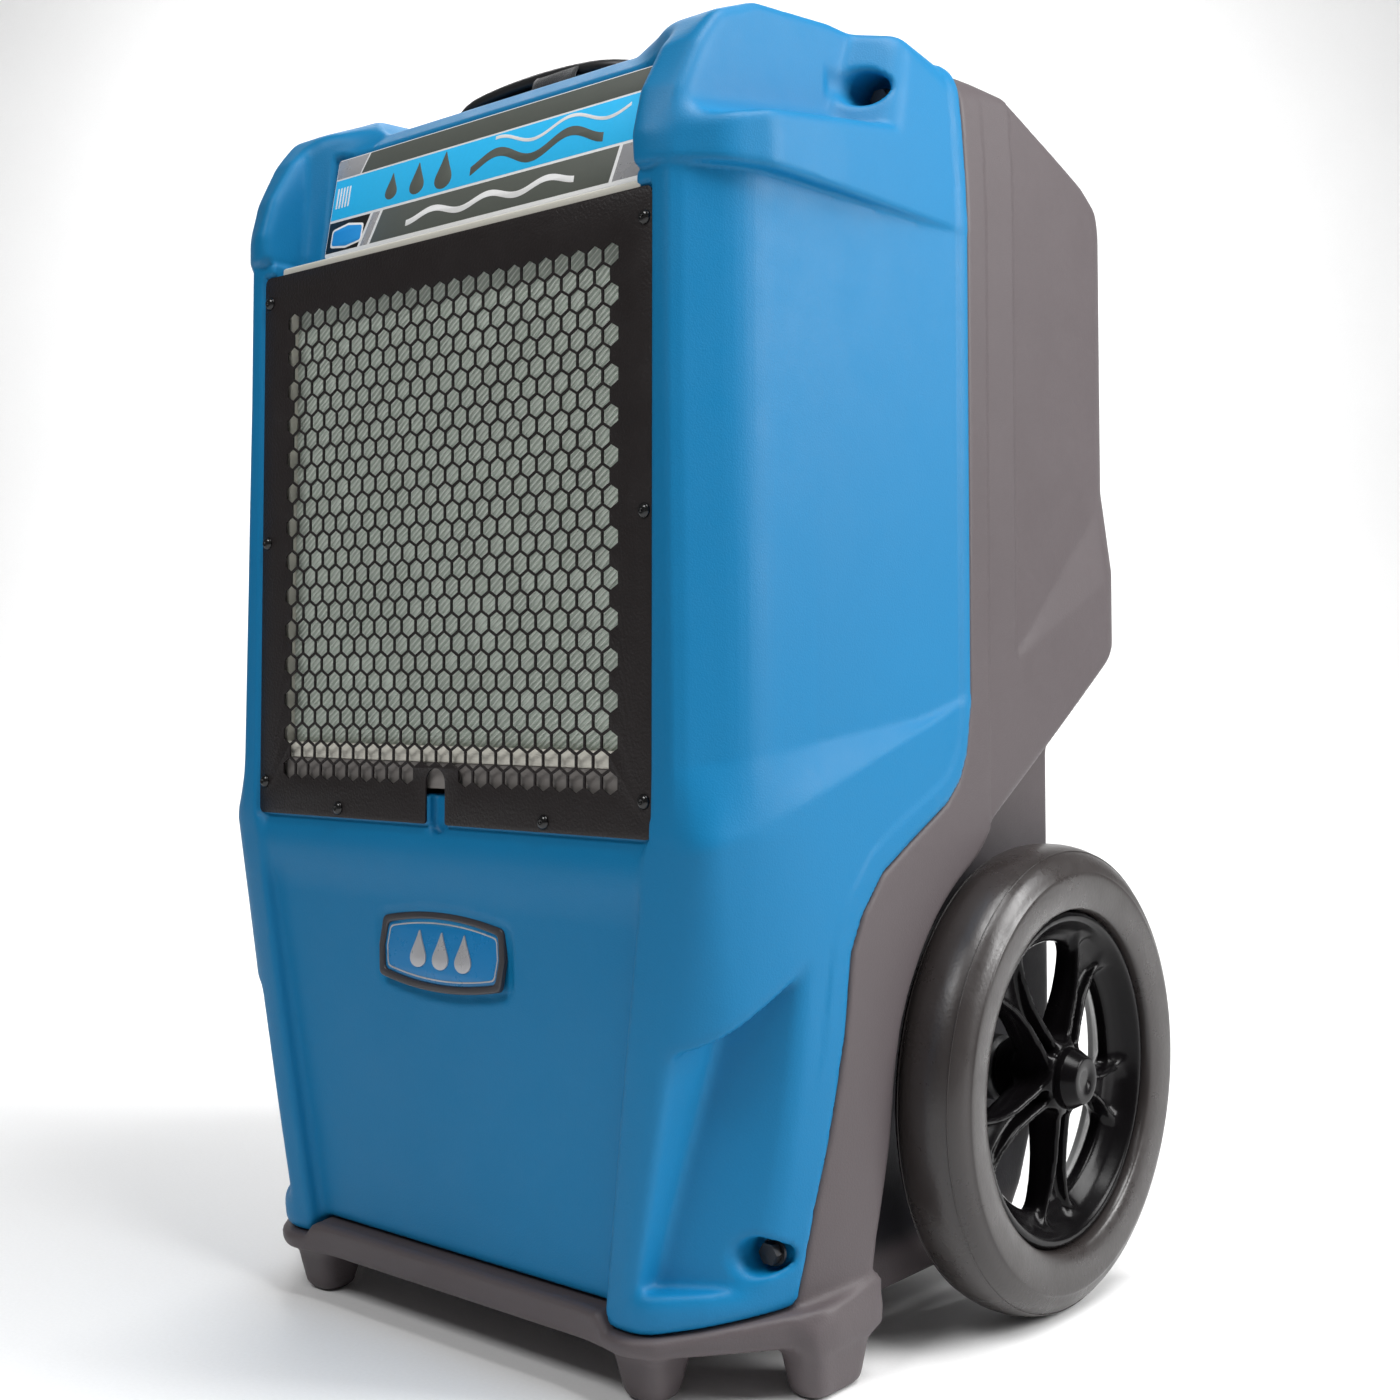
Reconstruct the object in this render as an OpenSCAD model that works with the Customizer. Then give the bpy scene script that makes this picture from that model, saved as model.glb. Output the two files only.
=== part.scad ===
// Portable restoration dehumidifier on two wheels.
// Row frame: X to the machine's right seen from the front, Y to the rear, Z up, floor at z = 0.
// Lengths in millimetres.

/* [Housing] */
// Half width of the two housing shells at the seam
half_width = 250; // [240:1:260]
// Wall thickness of the moulded shells
wall = 5; // [4:0.5:7]
// Height of the two top corners above the floor
top_height = 868; // [850:1:880]
// Height of the edge behind the label
deck_height = 845; // [835:1:850]
// Diameter of the sunk holes for the housing bolts
bolt_recess = 20; // [16:1:24]

/* [Air inlet] */
// Width of the perforated steel grille
grille_width = 382; // [370:1:386]
// Bottom edge of the grille above the floor
grille_bottom = 342.5; // [338:0.5:348]
// Top edge of the grille above the floor
grille_top = 734; // [726:0.5:738]
// Thickness of the grille sheet
grille_sheet = 1.5; // [1:0.1:2]
// Spacing of the hexagonal perforations
hex_pitch = 28.6; // [25:0.1:34]
// Width of a perforation across its flats
hex_flats = 25; // [20:0.5:30]
// Width of the air filter
filter_width = 354; // [340:1:356]
// Thickness of the air filter
filter_depth = 18; // [12:1:19]

/* [Wheels] */
// Outer diameter of the tyres
tyre_diameter = 322; // [300:1:324]
// Width of the tyres
tyre_width = 57; // [45:1:60]
// Distance of the tyre's middle from the machine's middle
wheel_offset = 262; // [260:1:266]
// Diameter of the steel axle
axle_diameter = 16; // [14:0.5:18]

/* [Handle] */
// Diameter of the handle tube
handle_tube = 25.4; // [22:0.1:28]
// Half the distance between the handle tubes
handle_half = 155; // [150:1:157]

/* [Power cord] */
// Diameter of the power cord
cord_diameter = 9.5; // [8:0.5:11]

/* [Hidden] */
// Distance from the grille's front to the middle of the machine
yc = 252;
eps = 0.01;
axle_y = 336;
axle_z = tyre_diameter / 2;
fan_z = 610;
slope = 15.2;
lip = 335;
seam = [[262, 900], [262, 424], [256, 388], [247, 370], [232, 356], [186, 332], [156, 315],
    [135, 291], [123, 267], [118, 217], [110, 167], [100, 115], [94, 69], [90, 50]];
blue_zone = concat([[-60, 50], [-60, 900]], seam);
grey_seam = [for (p = seam) [p[0] + 0.4, p[1] - 0.4]];
grey_zone = concat([[-60, 49.6], [-60, -20], [600, -20], [600, 900]], grey_seam);
rear_profile = [[-20, 870], [294, 870], [327, 866], [376, 848], [457, 826], [485, 813], [504, 792],
    [504, 647], [514, 535], [512, 471], [492, 445], [467, 423], [436, 385], [436, 190], [412, 110],
    [392, 66], [366, 34], [-20, 34]];
rear_inner = [[100, 862], [292, 862], [325, 860], [374, 842], [455, 820], [464, 816], [464, 430],
    [430, 392], [430, 192], [406, 112], [386, 72], [360, 40], [60, 40], [60, 120]];
well_profile = [[305, 378], [300, 350], [289, 334], [271, 306], [248, 288], [209, 260], [190, 237],
    [179, 215], [171, 168], [166, 142], [155, 88], [151, 58], [133, -5], [640, -5], [640, 378]];
function both(p) = concat(p, [for (i = [len(p) - 1:-1:0]) [-p[i][0], p[i][1]]]);
plan_low = both([[174, 9], [196, 36], [238, 90], [246, 150], [246, 262]]);
plan_lip = both([[206, -2], [224, 8], [half_width, 80], [half_width, 262]]);
plan_mid = both([[206, -2], [212, 6], [236, 41], [half_width, 262]]);
plan_rear = both([[half_width, 90], [249, 304], [246, 306], [238, 486], [230, 504], [212, 514]]);
ear_low = [[181, -9], [224, -9], [half_width, 20], [half_width, 262], [166, 262], [166, 40]];
ear_mid = [[178, 4], [222, 6], [half_width, 34], [half_width, 262], [166, 262], [166, 40]];
ear_top = [[163, 66], [212, 70], [236, 90], [241, 262], [158, 262]];
plan_base = both([[139, 14], [150, 7], [176, 5], [198, 28], [246, 92], [246, 160], [212, 205], [212, 300]]);

module fr() translate([0, -yc, 0]) children();

module pair() {
    children();
    mirror([1, 0, 0]) children();
}

// A (y, z) outline drawn out along X
module across(pts, x0, x1) translate([x0, 0, 0]) rotate([90, 0, 90]) linear_extrude(x1 - x0) polygon(pts);

// A cylinder along X, from x0 to x1
module rod_x(r, x0, x1) translate([x0, 0, 0]) rotate([0, 90, 0]) cylinder(r = r, h = x1 - x0, $fn = 64);

// A cylinder along Y, from y0 to y1
module rod_y(r, y0, y1) translate([0, y0, 0]) rotate([-90, 0, 0]) cylinder(r = r, h = y1 - y0, $fn = 64);

module box(a, b) translate(a) cube(b - a);

module on_slope() translate([0, 416.5, 837]) rotate([-slope, 0, 0]) children();

module blue_outer() {
    hull() {
        translate([0, 0, 50]) linear_extrude(1) polygon(plan_low);
        translate([0, 0, lip - 1]) linear_extrude(1) polygon(plan_lip);
    }
    hull() {
        translate([0, 0, lip - 1]) linear_extrude(1) polygon(plan_lip);
        translate([0, 0, 414]) linear_extrude(1) polygon(plan_mid);
    }
    translate([0, 0, 414]) linear_extrude(334) polygon(plan_mid);
    pair() hull() {
        translate([0, 0, 748]) linear_extrude(1) polygon(ear_low);
        translate([0, 0, 800]) linear_extrude(1) polygon(ear_mid);
        translate([0, 0, top_height - 1]) linear_extrude(1) polygon(ear_top);
    }
    across([[28.5, 746], [43, 828], [60, deck_height], [262, deck_height], [262, 746]], -166, 166);
}

// Pocket let into the outer side of a top corner: upright face, rising ledge, slanted wall
module corner_notch() difference() {
    translate([0, 0, 774]) rotate([9.6, 0, 0]) box([218, -80, 0], [300, 300, 140]);
    translate([215, 155, 700]) rotate([0, 0, 40]) box([-60, 0, 0], [120, 90, 200]);
}

// Deep pocket in the lower front corner
module corner_pocket() intersection() {
    translate([186, 44, 60]) rotate([0, 0, 33]) box([0, -90, 0], [90, 0, 200]);
    across([[-40, 74], [130, 62], [130, 262], [72, 256], [-40, 205]], 172, 300);
}

module front_housing() {
    color([0.10, 0.42, 0.68]) fr() intersection() {
        across(blue_zone, -300, 300);
        difference() {
            blue_outer();
            // recessed middle of the lower front
            hull() {
                translate([-143, -20, 45]) cube([286, 42, 1]);
                translate([-175, -20, 322]) cube([350, 21, 1]);
            }
            // seat of the grille, and the space for the filter behind it
            box([-191.5, -30, 341.5], [191.5, 0, 747]);
            box([-grille_width / 2, -30, grille_bottom - 1], [grille_width / 2, grille_sheet, 735]);
            box([-179, -1, 360], [179, 30, 760]);
            box([-179, -1, 750], [179, 25, 900]);
            // inside of the shell
            box([-206, 42, 49], [206, 300, 330]);
            box([-176, 30, 180], [176, 43, 330]);
            box([-190, 42, 329], [190, 61, 360]);
            box([-224, 60, 329], [224, 300, 740]);
            box([-190, 29.9, 359], [190, 61, 740]);
            // well for the coiled cord
            box([-128, 66, 822], [128, 250, 900]);
            badge_place() badge_solid(62.2, 25.2, -30, 2.6);
            pair() corner_notch();
            pair() corner_pocket();
            pair() translate([228, 0, 826]) rod_y(bolt_recess / 2, 140, 194);
            pair() translate([218, 0, 90]) rod_y(bolt_recess / 2, 30, 84);
            // groove under the notch in the grille
            translate([0, -4, 336]) rotate([-90, 0, 0]) cylinder(r = 8, h = 12, $fn = 32);
            box([-8, -4, 336], [8, 8, 361]);
            translate([-60, 0, deck_height]) rod_y(6, 249, 263);
        }
    }
}

module rear_housing() {
    color([0.36, 0.33, 0.33]) fr() difference() {
        union() {
            intersection() {
                across(grey_zone, -300, 300);
                across(rear_profile, -300, 300);
                translate([0, 0, 20]) linear_extrude(860) polygon(plan_rear);
            }
            translate([0, 0, 34]) linear_extrude(15.6) polygon(plan_base);
            pair() foot_front();
            pair() foot_side();
        }
        intersection() {
            across(rear_inner, -236, 236);
            union() {
                box([-206, 0, 0], [206, 600, 400]);
                box([-230, 0, 383], [230, 600, 900]);
            }
        }
        box([-206, 42, 43], [206, 280, 60]);
        pair() across(well_profile, 212, 330);
        translate([0, axle_y, axle_z]) {
            rod_x(tyre_diameter / 2 + 5, 228, 300);
            rod_x(tyre_diameter / 2 + 5, -300, -228);
        }
        // bay for the sliding handle
        box([-174, 470, 398], [174, 600, 900]);
        translate([0, 0, fan_z]) rod_y(106, 440, 480);
        translate([0, axle_y, axle_z]) rod_x(axle_diameter / 2, -300, 300);
        translate([118, 0, 300]) rod_y(5, 420, 440);
        // recess of the control panel, and the room under its buttons
        on_slope() box([-116, -34, -3], [116, 34, 30]);
        on_slope() for (i = [0:4]) translate([-8 + i * 24, 0, -9]) cylinder(r = 6.6, h = 12, $fn = 32);
    }
}

module foot_front() hull() {
    translate([138, 32, 0]) cube([34, 24, 1]);
    translate([129, 18, 34]) cube([50, 58, 1]);
}

module foot_side() hull() {
    translate([214, 96, 0]) cube([27, 50, 1]);
    translate([206, 84, 34]) cube([40, 74, 1]);
}

// Outline of the sheet with the arched notch at the bottom, then the hexagons and the screw holes
grille_outline = concat([[-grille_width / 2, grille_bottom], [-10, grille_bottom]],
    [for (a = [180:-20:0]) [10 * cos(a), 369 + 10 * sin(a)]],
    [[10, grille_bottom], [grille_width / 2, grille_bottom]],
    [[grille_width / 2, grille_top], [-grille_width / 2, grille_top]]);
hex_centres = [for (j = [-6:6]) for (i = [-6:5]) let (x = i + (abs(j) % 2) * 0.5)
    if (abs(x) <= 5.2 && (j > -6 || abs(x) > 0.8)) [x * hex_pitch, 539 + j * hex_pitch * 0.866]];
function ngon(p, r, n) = [for (k = [0:n - 1]) p + r * [sin(360 * k / n), cos(360 * k / n)]];

module front_grille() {
    hexes = [for (p = hex_centres) each ngon(p, hex_flats / 1.732, 6)];
    rounds = [for (p = screw_points()) each ngon(p, 2.5, 12)];
    n0 = len(grille_outline);
    n1 = n0 + len(hexes);
    paths = concat([[for (i = [0:n0 - 1]) i]],
        [for (h = [0:len(hex_centres) - 1]) [for (k = [0:5]) n0 + h * 6 + k]],
        [for (h = [0:7]) [for (k = [0:11]) n1 + h * 12 + k]]);
    color([0.10, 0.09, 0.09]) fr() translate([0, grille_sheet, 0]) rotate([90, 0, 0])
        linear_extrude(grille_sheet) polygon(concat(grille_outline, hexes, rounds), paths);
}

screw_places = [[185, 715], [185, 538], [185, 365], [101, 349]];
function screw_points() = [for (s = [-1, 1]) for (q = screw_places) [s * q[0], q[1]]];

module grille_screws() {
    color([0.06, 0.06, 0.06]) fr() for (p = screw_points()) translate([p[0], 0, p[1]]) {
        rod_y(2.2, -eps, grille_sheet);
        rod_y(4.6, -2.6, -0.01);
    }
}

module filter_media() {
    color([0.70, 0.74, 0.68]) fr()
        box([-filter_width / 2 + 8, 6, 391], [filter_width / 2 - 8, 5 + filter_depth - 1, 736]);
}

module filter_frame() {
    color([0.90, 0.89, 0.83]) fr() difference() {
        box([-filter_width / 2, 5, 383], [filter_width / 2, 5 + filter_depth, 744]);
        box([-filter_width / 2 + 8, 0, 391], [filter_width / 2 - 8, 40, 736]);
    }
}

module filter_rack() {
    color([0.52, 0.52, 0.50]) fr() {
        box([-177, 4.5, 366], [177, 25, 382.8]);
        difference() {
            box([-178, 25, 362], [178, 29, 738]);
            box([-162, 0, 384], [162, 60, 726]);
        }
    }
}

module fin_block(y0, y1) difference() {
    box([-164, y0, 372], [164, y1, 728]);
    for (i = [0:15]) box([-158 + i * 20.6, y0 - 1, 373], [-157 + i * 20.6 + 6, y0 + 3, 727]);
}

module evaporator_fins() {
    color([0.75, 0.77, 0.79]) fr() fin_block(60, 104);
}

module condenser_fins() {
    color([0.72, 0.74, 0.76]) fr() fin_block(150, 194);
}

module coil_end_plates() {
    color([0.62, 0.63, 0.64]) fr() pair() for (y = [60.5, 148]) box([164.2, y, 341.2], [167, y + 46, 736]);
}

module coil_bends() {
    color([0.72, 0.42, 0.26]) fr() pair() for (y = [82, 172]) for (i = [0:5])
        translate([167.2, y, 400 + i * 54]) rotate([90, 0, 0]) rotate([0, 0, -90])
            rotate_extrude(angle = 180, $fn = 48) translate([13, 0]) circle(r = 4.5, $fn = 24);
}

module drip_tray() {
    color([0.20, 0.20, 0.21]) fr() difference() {
        box([-176, 46, 338], [176, 206, 366]);
        box([-172, 50, 341], [172, 202, 380]);
        translate([100, 120, 330]) cylinder(r = 7, h = 20, $fn = 32);
    }
}

module chassis() {
    color([0.45, 0.46, 0.47]) fr() {
        box([-200, 50, 43.2], [200, 322, 46]);
        pair() box([178, 60, 46], [181, 196, 326]);
        pair() box([150, 60, 326], [181, 196, 329]);
    }
}

module compressor() {
    color([0.05, 0.05, 0.06]) fr() translate([-80, 248, 0]) {
        translate([0, 0, 78]) cylinder(r = 62, h = 168, $fn = 64);
        translate([0, 0, 246]) scale([1, 1, 0.5]) sphere(r = 62, $fn = 64);
        translate([0, 0, 60]) cylinder(r = 50, h = 18, $fn = 64);
        translate([10, -20, 268]) cylinder(r = 16, h = 22, $fn = 48);
        box([-72, -58, 56], [72, 58, 60]);
    }
}

module rubber_mounts() {
    color([0.07, 0.07, 0.07]) fr() {
        for (x = [-145, -15]) for (y = [198, 298]) translate([x, y, 46.1]) cylinder(r = 9, h = 9.8, $fn = 32);
        pair() for (y = [70, 178]) translate([162, y, 329.1]) cylinder(r = 8, h = 8.8, $fn = 32);
    }
}

module condensate_pump() {
    color([0.16, 0.17, 0.19]) fr() {
        box([52, 70, 46.2], [152, 186, 130]);
        translate([100, 128, 130]) cylinder(r = 32, h = 50, $fn = 48);
        translate([136, 90, 130]) cylinder(r = 6, h = 26, $fn = 32);
    }
}

module tray_drain() {
    color([0.62, 0.66, 0.68]) fr() translate([100, 120, 0]) difference() {
        translate([0, 0, 180.2]) cylinder(r = 6.9, h = 160, $fn = 32);
        translate([0, 0, 179]) cylinder(r = 5, h = 170, $fn = 32);
    }
}

module electrical_box() {
    color([0.55, 0.56, 0.57]) fr() {
        box([30, 214, 46.2], [168, 312, 250]);
        box([34, 210, 60], [164, 214, 240]);
    }
}

module filter_drier() {
    color([0.70, 0.40, 0.25]) fr() translate([-158, 140, 0]) {
        translate([0, 0, 120]) cylinder(r = 14, h = 90, $fn = 48);
        translate([0, 0, 210]) cylinder(r1 = 14, r2 = 5, h = 20, $fn = 48);
        translate([0, 0, 100]) cylinder(r1 = 5, r2 = 14, h = 20, $fn = 48);
        translate([0, 0, 230]) cylinder(r = 5, h = 60, $fn = 24);
    }
}

module suction_line() {
    color([0.74, 0.44, 0.28]) fr() {
        translate([-130, 226, 266]) cylinder(r = 6, h = 172, $fn = 24);
        translate([-130, 226, 438]) sphere(r = 6, $fn = 24);
        translate([-186, 226, 438]) rod_x(6, 0, 56);
        translate([-186, 226, 438]) sphere(r = 6, $fn = 24);
        translate([-186, 0, 438]) rod_y(6, 110, 226);
    }
}

module discharge_line() {
    color([0.74, 0.44, 0.28]) fr() {
        translate([-44, 266, 273]) cylinder(r = 4.5, h = 147, $fn = 24);
        translate([-44, 266, 420]) sphere(r = 4.5, $fn = 24);
        translate([-44, 0, 420]) rod_y(4.5, 194.2, 266);
    }
}

module fan_shroud() {
    color([0.13, 0.13, 0.14]) fr() difference() {
        union() {
            box([-205, 392, 396], [205, 396, 812]);
            translate([0, 0, fan_z]) rod_y(124, 396, 456);
            pair() box([150, 392, 386], [200, 424, 390]);
            pair() box([150, 392, 386], [200, 396, 400]);
        }
        translate([0, 0, fan_z]) rod_y(118, 380, 470);
    }
}

module motor_mount() {
    color([0.40, 0.41, 0.42]) fr() translate([0, 0, fan_z])
        for (a = [30, 150, 270]) rotate([0, a, 0]) box([50, 386, -9], [140, 391.9, 9]);
}

module fan_motor() {
    color([0.22, 0.22, 0.24]) fr() translate([0, 0, fan_z]) difference() {
        union() {
            rod_y(56, 296, 380);
            rod_y(44, 286, 386);
            rod_y(12, 386, 394);
        }
        rod_y(6.05, 360, 400);
    }
}

module fan_shaft() {
    color([0.70, 0.71, 0.72]) fr() translate([0, 0, fan_z]) rod_y(6, 362, 444);
}

module impeller() {
    color([0.09, 0.09, 0.10]) fr() translate([0, 0, fan_z]) difference() {
        union() {
            rod_y(40, 402, 442);
            for (a = [0:60:300]) rotate([0, a, 0]) translate([72, 422, 0]) rotate([32, 0, 0])
                box([-40, -21, -1.5], [40, 21, 1.5]);
        }
        rod_y(6, 300, 500);
    }
}

module exhaust_collar() {
    color([0.08, 0.08, 0.08]) fr() translate([0, 0, fan_z]) difference() {
        union() {
            rod_y(118, 470.1, 473);
            rod_y(101.6, 470.1, 512);
        }
        rod_y(98, 460, 520);
    }
}

module exhaust_guard() {
    color([0.12, 0.12, 0.13]) fr() translate([0, 0, fan_z]) {
        for (r = [24, 49, 74, 96]) difference() {
            rod_y(r + 1.5, 474, 477);
            rod_y(r - 1.5, 473, 478);
        }
        for (a = [0, 45, 90, 135]) rotate([0, a, 0]) box([-97.9, 474.5, -1.2], [97.9, 476.5, 1.2]);
    }
}

module label_panel() {
    color([0.25, 0.42, 0.52]) fr() translate([0, 28.35, 746]) rotate([-10.03, 0, 0])
        box([-158, -0.9, 4], [158, -0.1, 80]);
}

module badge_place() translate([0, 7.3, 258]) rotate([-4.6, 0, 0]) children();

module badge_frame() {
    color([0.36, 0.34, 0.35]) fr() badge_place() difference() {
        badge_solid(62, 25, -3, 2.4);
        badge_solid(56, 19, -9, 9);
    }
}

module badge_plate() {
    color([0.12, 0.44, 0.66]) fr() badge_place() badge_solid(55.8, 18.8, -1.6, 2.2);
}

// Plate with bowed top and bottom edges, centred on the origin
module badge_solid(w, h, y0, y1) translate([0, y1, 0]) rotate([90, 0, 0]) linear_extrude(y1 - y0)
    polygon(concat(
        [for (i = [-6:6]) [w * i / 6 * 0.97, h - 6 * i * i / 36]],
        [for (i = [6:-1:-6]) [w * i / 6 * 0.97, -h + 6 * i * i / 36]]));

module housing_bolts() {
    color([0.55, 0.56, 0.57]) fr() pair() {
        translate([228, 0, 826]) bolt_y(194);
        translate([218, 0, 90]) bolt_y(84);
    }
}

module bolt_y(y) {
    translate([0, y - 8.1, 0]) rotate([-90, 0, 0]) cylinder(r = 7, h = 6, $fn = 6);
    rod_y(8.5, y - 2.1, y - 0.1);
}

module control_panel() {
    color([0.10, 0.10, 0.11]) fr() difference() {
        on_slope() box([-115.7, -33.7, -2.8], [115.7, 33.7, 0]);
        on_slope() for (i = [0:4]) translate([-8 + i * 24, 0, -9]) cylinder(r = 6.5, h = 12, $fn = 32);
        on_slope() box([-98, -18, -1], [-34, 18, 4]);
    }
}

module display_lens() {
    color([0.05, 0.09, 0.10]) fr() on_slope() box([-97.8, -17.8, -0.9], [-34.2, 17.8, 0.4]);
}

module panel_button(i) on_slope() translate([-8 + i * 24, 0, -6]) {
    cylinder(r = 6.2, h = 8, $fn = 32);
}

module button_power() {
    color([0.72, 0.16, 0.12]) fr() panel_button(0);
}

module button_menu() {
    color([0.55, 0.56, 0.57]) fr() panel_button(1);
}

module button_up() {
    color([0.55, 0.56, 0.57]) fr() panel_button(2);
}

module button_down() {
    color([0.55, 0.56, 0.57]) fr() panel_button(3);
}

module button_purge() {
    color([0.16, 0.45, 0.66]) fr() panel_button(4);
}

module axle() {
    color([0.68, 0.69, 0.70]) fr() translate([0, axle_y, axle_z]) rod_x(axle_diameter / 2, -288, 288);
}

module axle_spacers() {
    color([0.10, 0.10, 0.10]) fr() pair() translate([0, axle_y, axle_z]) difference() {
        rod_x(17, 212.2, 231.6);
        rod_x(axle_diameter / 2, 200, 240);
    }
}

module handle_guides() {
    color([0.10, 0.10, 0.11]) fr() pair() for (z = [626, 700]) difference() {
        box([handle_half - 19, 470.2, z], [handle_half + 18.8, 510, z + 32]);
        translate([handle_half, 490, z - 1]) cylinder(r = handle_tube / 2 + 0.25, h = 40, $fn = 64);
    }
}

module handle_frame() {
    color([0.08, 0.08, 0.08]) fr() {
        pair() translate([handle_half, 490, 404]) cylinder(r = handle_tube / 2, h = 736 - 404, $fn = 64);
        pair() translate([handle_half - 40, 490, 736]) rotate([90, 0, 0])
            rotate_extrude(angle = 90, $fn = 64) translate([40, 0]) circle(r = handle_tube / 2, $fn = 48);
        translate([0, 490, 776]) rod_x(handle_tube / 2, -handle_half + 40, handle_half - 40);
    }
}

module handle_grip() {
    color([0.05, 0.05, 0.05]) fr() translate([0, 490, 776]) difference() {
        rod_x(15.6, -90, 90);
        rod_x(handle_tube / 2, -100, 100);
    }
}

module handle_caps() {
    color([0.05, 0.05, 0.05]) fr() pair() translate([handle_half, 490, 400])
        cylinder(r = handle_tube / 2 + 1, h = 3.9, $fn = 48);
}

module cord_gland() {
    color([0.06, 0.06, 0.06]) fr() translate([-60, 0, deck_height]) {
        rod_y(10, 238, 249.9);
        rod_y(5.9, 249.9, 261.9);
    }
}

module drain_fitting() {
    color([0.78, 0.66, 0.36]) fr() translate([118, 0, 300]) difference() {
        union() {
            rod_y(4.9, 422, 436.2);
            rod_y(12, 436.2, 442);
            rod_y(6.35, 442, 468);
        }
        rod_y(3.4, 421, 480);
    }
}

// Round section of the tyre, half width w and half depth d
function tyre_ring(rm, d, w, n) = [for (i = [0:n - 1]) let (a = i * 360 / n, c = cos(a), s = sin(a))
    [rm + d * sign(c) * pow(abs(c), 0.8), w * sign(s) * pow(abs(s), 0.7)]];

module wheel_place(side) fr() translate([side * wheel_offset, axle_y, axle_z])
    rotate([0, side * 90, 0]) children();

module tyre() difference() {
    rotate_extrude($fn = 96) polygon(tyre_ring(tyre_diameter / 2 - 25, 25, tyre_width / 2, 20));
    translate([0, 0, -50]) cylinder(r = 116, h = 100, $fn = 96);
}

module rim() {
    difference() {
        union() {
            translate([0, 0, -23]) cylinder(r = 115.9, h = 41, $fn = 96);
            translate([0, 0, -28]) cylinder(r = 22, h = 46, $fn = 64);
        }
        translate([0, 0, -30]) difference() {
            cylinder(r = 105, h = 60, $fn = 96);
            cylinder(r = 22, h = 60, $fn = 64);
            for (a = [0:72:288]) rotate(a) box([20, -5.5, 18], [107, 5.5, 44]);
        }
        translate([0, 0, -40]) cylinder(r = 12, h = 70, $fn = 64);
    }
}

module bush() translate([0, 0, -30]) difference() {
    cylinder(r = 12, h = 48, $fn = 64);
    translate([0, 0, -1]) cylinder(r = axle_diameter / 2 + 0.08, h = 60, $fn = 64);
}

module cap() difference() {
    translate([0, 0, 18.1]) cylinder(r1 = 21, r2 = 15, h = 15, $fn = 64);
    translate([0, 0, 17]) cylinder(r = 9, h = 11, $fn = 48);
}

module tyre_right() {
    color([0.37, 0.36, 0.35]) wheel_place(1) tyre();
}

module tyre_left() {
    color([0.37, 0.36, 0.35]) wheel_place(-1) tyre();
}

module wheel_hub_right() {
    color([0.03, 0.03, 0.03]) wheel_place(1) rim();
}

module wheel_hub_left() {
    color([0.03, 0.03, 0.03]) wheel_place(-1) rim();
}

module wheel_bush_right() {
    color([0.80, 0.80, 0.78]) wheel_place(1) bush();
}

module wheel_bush_left() {
    color([0.80, 0.80, 0.78]) wheel_place(-1) bush();
}

module wheel_cap_right() {
    color([0.04, 0.04, 0.04]) wheel_place(1) cap();
}

module wheel_cap_left() {
    color([0.04, 0.04, 0.04]) wheel_place(-1) cap();
}

// Oblong bundle of the coiled cord
module cord_coil() {
    color([0.04, 0.04, 0.04]) fr() translate([0, 152, 827]) difference() {
        oblong(118, 66, 38);
        translate([0, 0, -1]) oblong(82, 30, 45);
    }
}

module oblong(a, b, h) {
    box([-a + b, -b, 0], [a - b, b, h]);
    pair() translate([a - b, 0, 0]) cylinder(r = b, h = h, $fn = 64);
}

module cord_strap() {
    color([0.03, 0.03, 0.03]) fr() difference() {
        box([4, 83, 823], [42, 126, 868.5]);
        box([0, 85.5, 826.5], [50, 123, 865.5]);
    }
}

cord_route = [[-60, 237.8, 845], [-60, 234, 845], [-60.5, 229, 846], [-61.5, 224, 848]];

module power_cord() {
    color([0.04, 0.04, 0.04]) fr() tube(cord_route, cord_diameter / 2, 10);
}

function unit(v) = v / norm(v);

function ring_at(p, d, r, n) = let (u = unit(cross(d, [1, 0, 0])), w = cross(d, u))
    [for (k = [0:n - 1]) p + r * (u * cos(360 * k / n) + w * sin(360 * k / n))];

function run(p, i) = unit(p[min(i + 1, len(p) - 1)] - p[max(i - 1, 0)]);

module tube(p, r, n) {
    rings = [for (i = [0:len(p) - 1]) each ring_at(p[i], run(p, i), r, n)];
    sides = [for (i = [0:len(p) - 2]) for (k = [0:n - 1])
        [i * n + k, i * n + (k + 1) % n, (i + 1) * n + (k + 1) % n, (i + 1) * n + k]];
    ends = [[for (k = [n - 1:-1:0]) k], [for (k = [0:n - 1]) (len(p) - 1) * n + k]];
    polyhedron(points = rings, faces = concat(sides, ends));
}

module power_plug() {
    color([0.05, 0.05, 0.05]) fr() translate([-30, 152, 840]) {
        rod_x(13, 0, 38);
        rod_x(6, -12, 0);
        box([38, -8, 4], [54, -6, 8]);
        box([38, 6, 4], [54, 8, 8]);
        translate([0, 0, -6]) rod_x(2.4, 38, 56);
    }
}

front_housing();
rear_housing();
front_grille();
grille_screws();
filter_media();
filter_frame();
filter_rack();
evaporator_fins();
condenser_fins();
coil_end_plates();
coil_bends();
drip_tray();
chassis();
compressor();
rubber_mounts();
condensate_pump();
tray_drain();
electrical_box();
filter_drier();
suction_line();
discharge_line();
fan_shroud();
motor_mount();
fan_motor();
fan_shaft();
impeller();
exhaust_collar();
exhaust_guard();
label_panel();
badge_frame();
badge_plate();
housing_bolts();
control_panel();
display_lens();
button_power();
button_menu();
button_up();
button_down();
button_purge();
axle();
axle_spacers();
handle_guides();
handle_frame();
handle_grip();
handle_caps();
cord_gland();
drain_fitting();
tyre_right();
tyre_left();
wheel_hub_right();
wheel_hub_left();
wheel_bush_right();
wheel_bush_left();
wheel_cap_right();
wheel_cap_left();
cord_coil();
cord_strap();
power_cord();
power_plug();
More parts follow.
